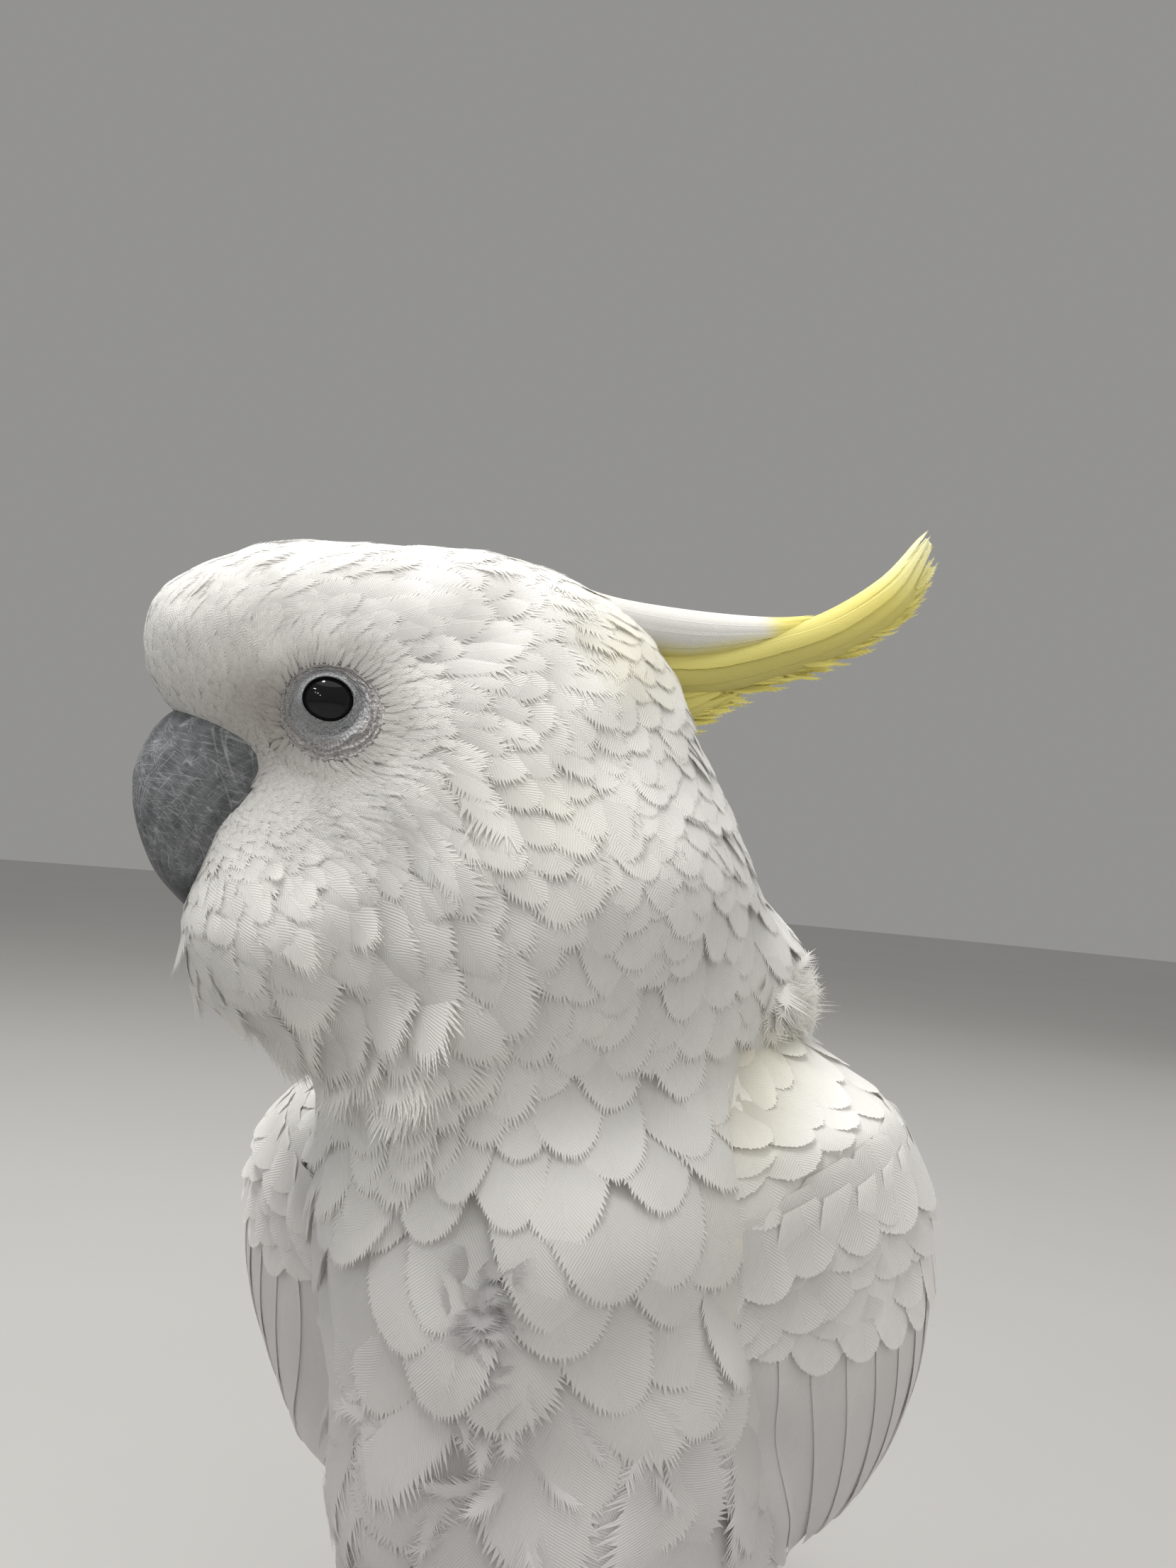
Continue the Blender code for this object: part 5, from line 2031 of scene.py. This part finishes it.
CREST = (
    CrestBundle("crest_lower_plumes", "crest_lower_plume",
                ((-.052, .2510), (-.064, .2520), (-.075, .2530), (-.0875, .2552)),
                ((-.056, .2425), (-.066, .2425), (-.077, .2465), (-.0880, .2542)),
                (3.5, 3.8, 2.6, 0.6), 0.050,
                tuple((a, -0.05 + 0.02 * k, 0.80 + 0.05 * (k % 4))
                      for k, a in enumerate((-160, 160, -120, 120, -80, 80, -40, 40, 0))),
                34, 0.036, 130),
    CrestBundle("crest_upper_plumes", "crest_upper_plume",
                ((-.050, .2600), (-.074, .2612), (-.0925, .2674), (-.1060, .2732), (-.1200, .2834),
                 (-.1295, .2952)),
                ((-.052, .2495), (-.076, .2515), (-.0965, .2585), (-.1140, .2675), (-.1270, .2790),
                 (-.1322, .2930)),
                (4.0, 4.8, 4.0, 3.2, 2.2, 0.6), 0.050,
                tuple((a, -0.04 + 0.03 * (k % 5), s) for k, (a, s) in enumerate((
                    (-165, .82), (165, .86), (-130, .90), (130, .93), (-95, .95), (95, .97), (-60, .98),
                    (60, .99), (-25, 1.0), (25, 1.0)))), 32, 0.024, 330),
    CrestBundle("crest_white_plumes", "crest_white",
                ((-.024, .2745), (-.036, .2750), (-.054, .2702), (-.074, .2694), (-.0930, .2703),
                 (-.1040, .2722)),
                ((-.030, .2600), (-.040, .2580), (-.056, .2575), (-.074, .2580), (-.0915, .2632),
                 (-.1020, .2692)),
                (6.0, 8.5, 8.0, 6.0, 3.5, 0.6), 0.0925,
                tuple((a, -0.06 + 0.04 * (k % 4), s) for k, (a, s) in enumerate((
                    (-120, .80), (120, .82), (-92, .88), (92, .90), (-62, .95), (62, .97), (-30, .99),
                    (30, 1.0), (0, 1.0)))), 30, 0.012),
)


# ---------------------------------------------------------- bill
@dataclass(frozen=True)
class Bill:
    """Upper and lower bill: oval sections between a ridge line and an edge line."""

    upper_ridge: tuple = ((.0150, .2420), (.0290, .2362), (.0345, .2270), (.0345, .2170),
                          (.0300, .2060), (.0235, .1990), (.0175, .1945))
    upper_edge: tuple = ((.0000, .2290), (.0050, .2220), (.0095, .2155), (.0145, .2085),
                         (.0180, .2030), (.0188, .1985), (.0165, .1948))
    upper_half: tuple = (10.5, 10.4, 9.9, 8.5, 6.0, 3.3, 0.7)
    lower_ridge: tuple = ((-.0040, .2250), (.0060, .2240), (.0140, .2200), (.0190, .2110))
    lower_edge: tuple = ((-.0040, .2040), (.0060, .2005), (.0125, .2010), (.0175, .2070))
    lower_half: tuple = (9.5, 9.5, 7.5, 3.5)

    def rings(self, drawn: tuple, rows: int, sides: int, keel: float) -> Array:
        """Oval rings, a little flat-sided and drawn to a soft keel along the ridge.

        Args:
            drawn: the ridge line, the edge line and the half-widths in millimetres.
            rows: how many rings.
            sides: corners in a ring.
            keel: how much the ridge narrows.

        Returns:
            The rings' corners.
        """
        middle, reach, half = ridges(*drawn, rows)
        cosine, sine = np.cos(round_turn(sides)), np.sin(round_turn(sides))
        flat = np.sign(sine) * np.abs(sine)**0.9 * (1 - keel * np.maximum(cosine, 0)**3)
        ahead, height = (middle[:, None, k] + cosine * reach[:, None, k] for k in range(2))
        return HEAD.place(ahead, flat * np.maximum(half, 0.0005)[:, None], height)

    def make(self, finish: Material) -> None:
        """Builds both halves, with faint growth steps on the upper one.

        Args:
            finish: the horn's material.
        """
        rings = self.rings((self.upper_ridge, self.upper_edge, self.upper_half), 90, 72, 0.10)
        middle = rings.mean(1, keepdims=True)
        step = 1 + 0.004 * ripple(rings, 0.004, 3)
        upper = put_tube("upper_bill_horn", middle + (rings - middle) * step[..., None], finish)
        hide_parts("upper_bill")
        rings = self.rings((self.lower_ridge, self.lower_edge, self.lower_half), 40, 48, 0.0)
        middle = rings.mean(1, keepdims=True)
        lower = put_tube("lower_bill_horn", middle + (rings - middle) * 0.97, finish)
        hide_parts("lower_bill")


# ---------------------------------------------------------- eyes
@dataclass(frozen=True)
class Eye:
    """An eyeball between creased lids, in a ring of bare skin; pairs are half-widths, half-heights."""

    side: Side
    opening: tuple[float, float] = (0.00465, 0.00415)
    ring: tuple[float, float] = (0.0104, 0.0099)
    sunk: float = 0.0007        # how far the ring lies under the body's form
    folds: float = 0.00018      # half-depth of the folds round the eye
    creases: float = 0.00007    # half-depth of the fine lines across them

    def make_ball(self, finish: Material) -> None:
        """The eyeball, a fine ball.

        Args:
            finish: its material.
        """
        centre = HEAD.place(0.0, self.side.value * HEAD.eye_spread, HEAD.eye_height)
        polar, turn = np.linspace(0.02, math.pi - 0.02, 33)[:, None, None], round_turn(56)[:, None]
        ball = (np.cos(polar) * HEAD.aside * self.side.value
                + np.sin(polar) * np.cos(turn) * HEAD.ahead + np.sin(polar) * np.sin(turn) * UP)
        made = put_tube(f"{self.side.label}_eyeball", centre + ball * HEAD.eye_radius, finish)
        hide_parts(f"{self.side.label}_eye")

    def head_beside(self, ahead: Array, height: Array) -> Array:
        """How far beside the head's middle its form is met, by Newton's steps.

        Args:
            ahead: distances ahead of the eyes.
            height: heights.

        Returns:
            Distances to the eye's side.
        """
        out = HEAD.aside * self.side.value
        beside = np.full_like(ahead, 0.021)
        for _ in range(6):
            spot = HEAD.place(ahead, self.side.value * beside, height)
            beside = beside - FORM.distance(spot) / np.maximum(FORM.slope(spot) @ out, 0.3)
        return beside

    def make_lids(self, finish: Material) -> None:
        """The lids and the bare ring, from the opening out under the feathers.

        Outwards, each round line is an ellipse between the opening and the ring; its height
        leaves the eyeball over a rounded lid edge, dips in a groove, then follows the head,
        with folds sin(2 pi n share) that fade outwards.

        Args:
            finish: the lids' material.
        """
        share, turn = np.meshgrid(np.concatenate([[-0.05, -0.02], np.linspace(0, 1, 46)]),
                                  round_turn(128), indexing="ij")
        grow = np.clip(share, 0, 1)
        wide, tall = (inner * (1 - grow) + outer * grow for inner, outer in zip(self.opening, self.ring))
        ahead = RING_MIDDLE[0] * grow + wide * np.cos(turn)
        height = (HEAD.eye_height * (1 - grow) + RING_MIDDLE[1] * grow
                  + tall * np.sin(turn) * (1 + 0.03 * np.sin(turn * 2)))
        from_eye = np.hypot(ahead, height - HEAD.eye_height)
        ball = HEAD.eye_spread + np.sqrt(np.maximum(HEAD.eye_radius**2 - from_eye**2, 0.0))
        over = ease(0.0, 0.42, share)
        base = (ball + 0.00075) * (1 - over) + (self.head_beside(ahead, height) - self.sunk) * over
        edge = 0.00035 * bell((share - 0.06) / 0.05)
        noise = ripple(np.stack([share, np.cos(turn), np.sin(turn)], -1), 0.75, 11)
        folds = np.sin(2 * math.pi * (4.6 * share + 0.50 * noise)) * self.folds
        folds = folds * ease(0.26, 0.44, share) * (1 - 0.5 * ease(0.7, 1.0, share))
        creases = np.sin(turn * 31 + 5 * noise + 9 * share) * self.creases * ease(0.28, 0.5, share)
        out = base + edge + folds * (1 + 0.5 * (np.sin(turn) < 0)) + creases
        out = np.where(share < 0, ball - 0.0004 + 0.006 * (share + 0.05), out)
        out = out - 0.0016 * ease(0.90, 1.0, share)
        points = HEAD.place(ahead, self.side.value * out, height).reshape(-1, 3)
        quads = weave(*share.shape)[:, [0, 3, 2, 1]]
        a, b, c = (points[quads[:, n]] for n in range(3))
        if (np.cross(b - a, c - a) @ (HEAD.aside * self.side.value)).mean() < 0:
            quads = quads[:, ::-1]
        ring_map = np.stack([grow, 0.5 + 0.5 * np.sin(turn / 2)], -1).reshape(-1, 2)
        put_mesh(f"{self.side.label}_eyelids", points, [quads], finish, {"Ring": ring_map})

    def make(self, finishes: Finishes) -> None:
        """Builds the eyeball and the lids."""
        self.make_ball(finishes["eye"])
        self.make_lids(finishes["lid"])


# ---------------------------------------------------------- feet
@dataclass(frozen=True)
class Foot:
    """A short scaly leg with two toes ahead, two behind, and their claws."""

    side: Side
    spread: float = 0.0265
    middle: tuple[float, float] = (0.004, 0.004)
    toe_radius: float = 0.0037
    claw_length: float = 0.0120
    claw_bend: float = 1.25
    scutes: float = 1100.0      # radians of the scutes' wave in a metre of toe
    toes: tuple = (("inner_front", -15, 0.031), ("outer_front", 33, 0.037),
                   ("outer_back", 147, 0.031), ("inner_back", -150, 0.025))
    shank: tuple = ((0.0, 0.0060), (0.0008, 0.0082), (0.0035, 0.0095), (0.0070, 0.0095),
                    (0.0100, 0.0084), (0.0150, 0.0052), (0.0300, 0.0055), (0.0400, 0.0057))

    def centre(self) -> Array:
        """The foot's middle on the floor."""
        return np.array([self.middle[0] + self.side.value * self.spread, self.middle[1], 0.0]) + SHIFT

    def rings(self, reach: Array, height: Array, radius: Array, degrees: float, sides: int,
              scutes: float = 0.0) -> Array:
        """Round sections along a toe, flattened at the floor, stepped by scutes over the top.

        Args:
            reach: how far each section is from the foot's middle.
            height: each section's height.
            radius: each section's radius.
            degrees: the toe's heading from straight ahead, outwards.
            sides: corners in a section.
            scutes: radians of the scutes' wave in a metre; none leaves it smooth.

        Returns:
            The sections' corners.
        """
        direction = math.radians(degrees * self.side.value)
        turn = round_turn(sides)
        along = np.array([math.sin(direction), -math.cos(direction), 0.0])
        aside = np.array([math.cos(direction), math.sin(direction), 0.0])
        slope = np.gradient(height, reach)
        slope[[0, -1]] = 0.0
        up = unit(UP - slope[:, None] * along)
        centre = self.centre() + along * reach[:, None] + UP * height[:, None]
        step = np.ones((len(reach), sides))
        if scutes:
            step += 0.07 * np.abs(np.sin(reach * scutes))[:, None] * np.maximum(np.sin(turn), 0)
            step += 0.03 * np.maximum(np.sin(reach * 340), 0)[:, None] * np.maximum(-np.sin(turn), 0)
        turn = turn[:, None]
        ring = centre[:, None] + (radius[:, None] * step)[..., None] * (
            np.cos(turn) * aside + np.sin(turn) * up[:, None])
        ring[..., 2] = np.maximum(ring[..., 2], 0.0)
        return ring

    def make_shank(self, finish: Material) -> None:
        """The shank, with scales behind.

        Args:
            finish: the scales' material.
        """
        height, radius = curve(self.shank, np.linspace(0, 1, 60)).T
        turn = round_turn(36)
        step = 1 + 0.035 * np.abs(np.sin(height * 900))[:, None] * ease(-0.4, 0.6, -np.sin(turn))
        rounds = np.stack([np.cos(turn), np.sin(turn), 0 * turn], -1)
        rings = (self.centre() + rounds * (radius[:, None] * step)[..., None]
                 + np.maximum(height, 0.0)[:, None, None] * UP)
        shank = put_tube(f"{self.side.label}_shank", rings, finish)
        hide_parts(f"{self.side.label}_tarsus")

    def make(self, finishes: Finishes) -> None:
        """Builds the shank, toes and claws.

        Args:
            finishes: the bird's materials.
        """
        self.make_shank(finishes["leg"])
        label = self.side.label
        for name, degrees, length in self.toes:
            reach = np.linspace(0.0035, length, 44)
            share = (reach - reach[0]) / (reach[-1] - reach[0])
            radius = self.toe_radius * (1.02 - 0.26 * share)
            height = radius * 0.88 + 0.0022 * (1 - share)**2
            round_end = np.sqrt(1 - np.clip((share - 0.93) / 0.072, 0, 1)**2)
            toe = put_tube(f"{label}_{name}_toe_scales",
                           self.rings(reach, height, radius * round_end, degrees, 24, self.scutes),
                           finishes["leg"])
            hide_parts(f"{label}_{name}_toe")
            share = np.linspace(0, 1, 28)
            bent = np.sin(share * self.claw_bend) / math.sin(self.claw_bend)
            reach = length - 0.0012 + (self.claw_length + 0.0016) * bent
            height = height[-1] + 0.0004 + 0.0016 * np.sin(share * math.pi) - 0.0022 * share**2
            radius = self.toe_radius * 0.62 * (1 - share)**0.75 + 0.00025
            claw = put_tube(f"{label}_{name}_claw_horn", self.rings(reach, height, radius, degrees, 18),
                            finishes["claw"])
            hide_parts(f"{label}_{name}_claw")


# ---------------------------------------------------------- stage
@dataclass(frozen=True)
class Lamp:
    """A soft oblong light."""

    name: str
    spot: tuple[float, float, float]
    size: tuple[float, float]
    power: float
    colour: tuple[float, float, float] = (1.0, 1.0, 1.0)

    def make(self, target: tuple[float, float, float]) -> None:
        """Hangs the light, aimed at a point; only the small ones show in reflections.

        Args:
            target: the point.
        """
        data = bpy.data.lights.new(self.name, "AREA")
        data.shape = "RECTANGLE"
        data.size, data.size_y = self.size
        data.energy = self.power
        data.color = self.colour
        lamp = bpy.data.objects.new(self.name, data)
        lamp.location = self.spot
        lamp.visible_glossy = min(self.size) < 0.5
        aim = Vector(target) - Vector(self.spot)
        lamp.rotation_euler = aim.to_track_quat("-Z", "Y").to_euler()
        bpy.context.scene.collection.objects.link(lamp)


LAMPS = (
    Lamp("overhead", (-0.30, -0.20, 1.30), (1.0, 0.14), 22.5, (1.0, 0.99, 0.97)),
    Lamp("front", (1.10, -0.9, 0.85), (1.2, 1.2), 9.6, (1.0, 0.975, 0.965)),
    Lamp("side", (-1.2, -0.6, 0.6), (1.0, 1.0), 3.8, (0.97, 0.98, 1.0)),
    Lamp("behind", (0.8, 1.0, 0.9), (1.0, 1.0), 6.0),
    *(Lamp(f"small_{number}", spot, (wide, 0.035), 4.5 * wide**0.8) for number, (spot, wide) in enumerate((
        ((-0.50, -1.10, 0.95), 0.20), ((-0.17, -1.24, 0.66), 0.04), ((0.02, -1.28, 0.54), 0.04),
        ((-0.35, -1.2, 0.7), 0.03)))),
)


@dataclass(frozen=True)
class Stage:
    """Floor, soft lights and the camera; angles in degrees, the lens in millimetres."""

    lens: float = 26.85
    camera_spot: tuple[float, float, float] = (0.0799, -0.2579, 0.213)
    azimuth: float = 18.0
    pitch: float = 4.0
    roll: float = 5.0
    target: tuple[float, float, float] = (-0.01, -0.08, 0.18)
    floor_radius: float = 6.0
    surround: tuple[float, float, float, float] = (0.52, 0.515, 0.50, 1)
    surround_strength: float = 0.56
    ceiling_strength: float = 1.24
    ceiling_spread: float = 80.0

    def make_floor(self) -> None:
        """A wide round floor."""
        turn = round_turn(96)
        points = np.column_stack([np.cos(turn), np.sin(turn), 0 * turn]) * self.floor_radius
        mesh = bpy.data.meshes.new("floor")
        mesh.from_pydata(points.tolist(), [], [list(range(96))])
        mesh.materials.append(FloorFinish().make())
        floor = bpy.data.objects.new("floor", mesh)
        bpy.context.scene.collection.objects.link(floor)

    def make_lights(self) -> None:
        """The plain surroundings, the lamps and a broad light from the ceiling."""
        world = bpy.data.worlds.new("room")
        world.use_nodes = True
        background = world.node_tree.nodes["Background"]
        background.inputs[0].default_value = self.surround
        background.inputs[1].default_value = self.surround_strength
        bpy.context.scene.world = world
        for lamp in LAMPS:
            lamp.make(self.target)
        sky = bpy.data.lights.new("ceiling", "SUN")
        sky.angle = math.radians(self.ceiling_spread)
        sky.energy = self.ceiling_strength
        bpy.context.scene.collection.objects.link(bpy.data.objects.new("ceiling", sky))

    def make_camera(self) -> None:
        """The camera, aimed by azimuth and pitch and then rolled."""
        data = bpy.data.cameras.new("view")
        data.lens = self.lens
        data.sensor_width = 36.0
        data.clip_start = 0.01
        view = bpy.data.objects.new("view", data)
        azimuth, pitch, roll = (math.radians(a) for a in (self.azimuth, self.pitch, self.roll))
        forward = Vector((-math.sin(azimuth) * math.cos(pitch), math.cos(azimuth) * math.cos(pitch),
                          math.sin(pitch)))
        right = forward.cross(Vector(UP)).normalized()
        up = right.cross(forward)
        right, up = (right * math.cos(roll) + up * math.sin(roll),
                     up * math.cos(roll) - right * math.sin(roll))
        axes = Matrix((right, up, -forward)).transposed().to_4x4()
        view.matrix_world = Matrix.Translation(Vector(self.camera_spot) + Vector(SHIFT)) @ axes
        bpy.context.scene.collection.objects.link(view)
        bpy.context.scene.camera = view

    def make(self) -> None:
        """Sets the stage."""
        self.make_floor()
        self.make_lights()
        self.make_camera()
        bpy.context.scene.view_settings.view_transform = "Standard"


# ---------------------------------------------------------- the whole bird
def make_finishes() -> Finishes:
    """Every material of the bird.

    Returns:
        The materials, by a short name.
    """
    return {
        "fine": FeatherFinish("face_feather", 0.55, 1.2, 0.25, 0.12, 0.10).make(),
        "soft": FeatherFinish("contour_feather", 0.75, 1.2, 0.30, 0.11, 0.14).make(),
        "quill": FeatherFinish("flight_feather", 0.80, 1.3, 0.35, 0.09, 0.34, 0.35).make(),
        "crest": FeatherFinish("crest_feather", 0.60, 2.0, 0.30, 0.09, 0.22, 0.55).make(),
        "skin": SkinFinish().make(),
        "lid": LidFinish().make(),
        "eye": EyeFinish().make(),
        "horn": BillFinish().make(),
        "leg": ScaleFinish().make(),
        "claw": ClawFinish().make(),
    }


def main() -> None:
    """Builds the bird from the skin outwards."""
    logging.basicConfig(level=logging.INFO, format="%(message)s")
    finishes = make_finishes()
    Stage().make()
    surface, triangles = SKIN.make(finishes["skin"])
    BodyCoat().make(surface, triangles, finishes)
    for wing in WINGS:
        wing.make(finishes)
    Tail().make(finishes)
    for number, bundle in enumerate(CREST):
        bundle.make(finishes, 90 + number)
    Bill().make(finishes["horn"])
    for side in Side:
        Eye(side).make(finishes)
        Foot(side).make(finishes)


if __name__ == "__main__":
    main()
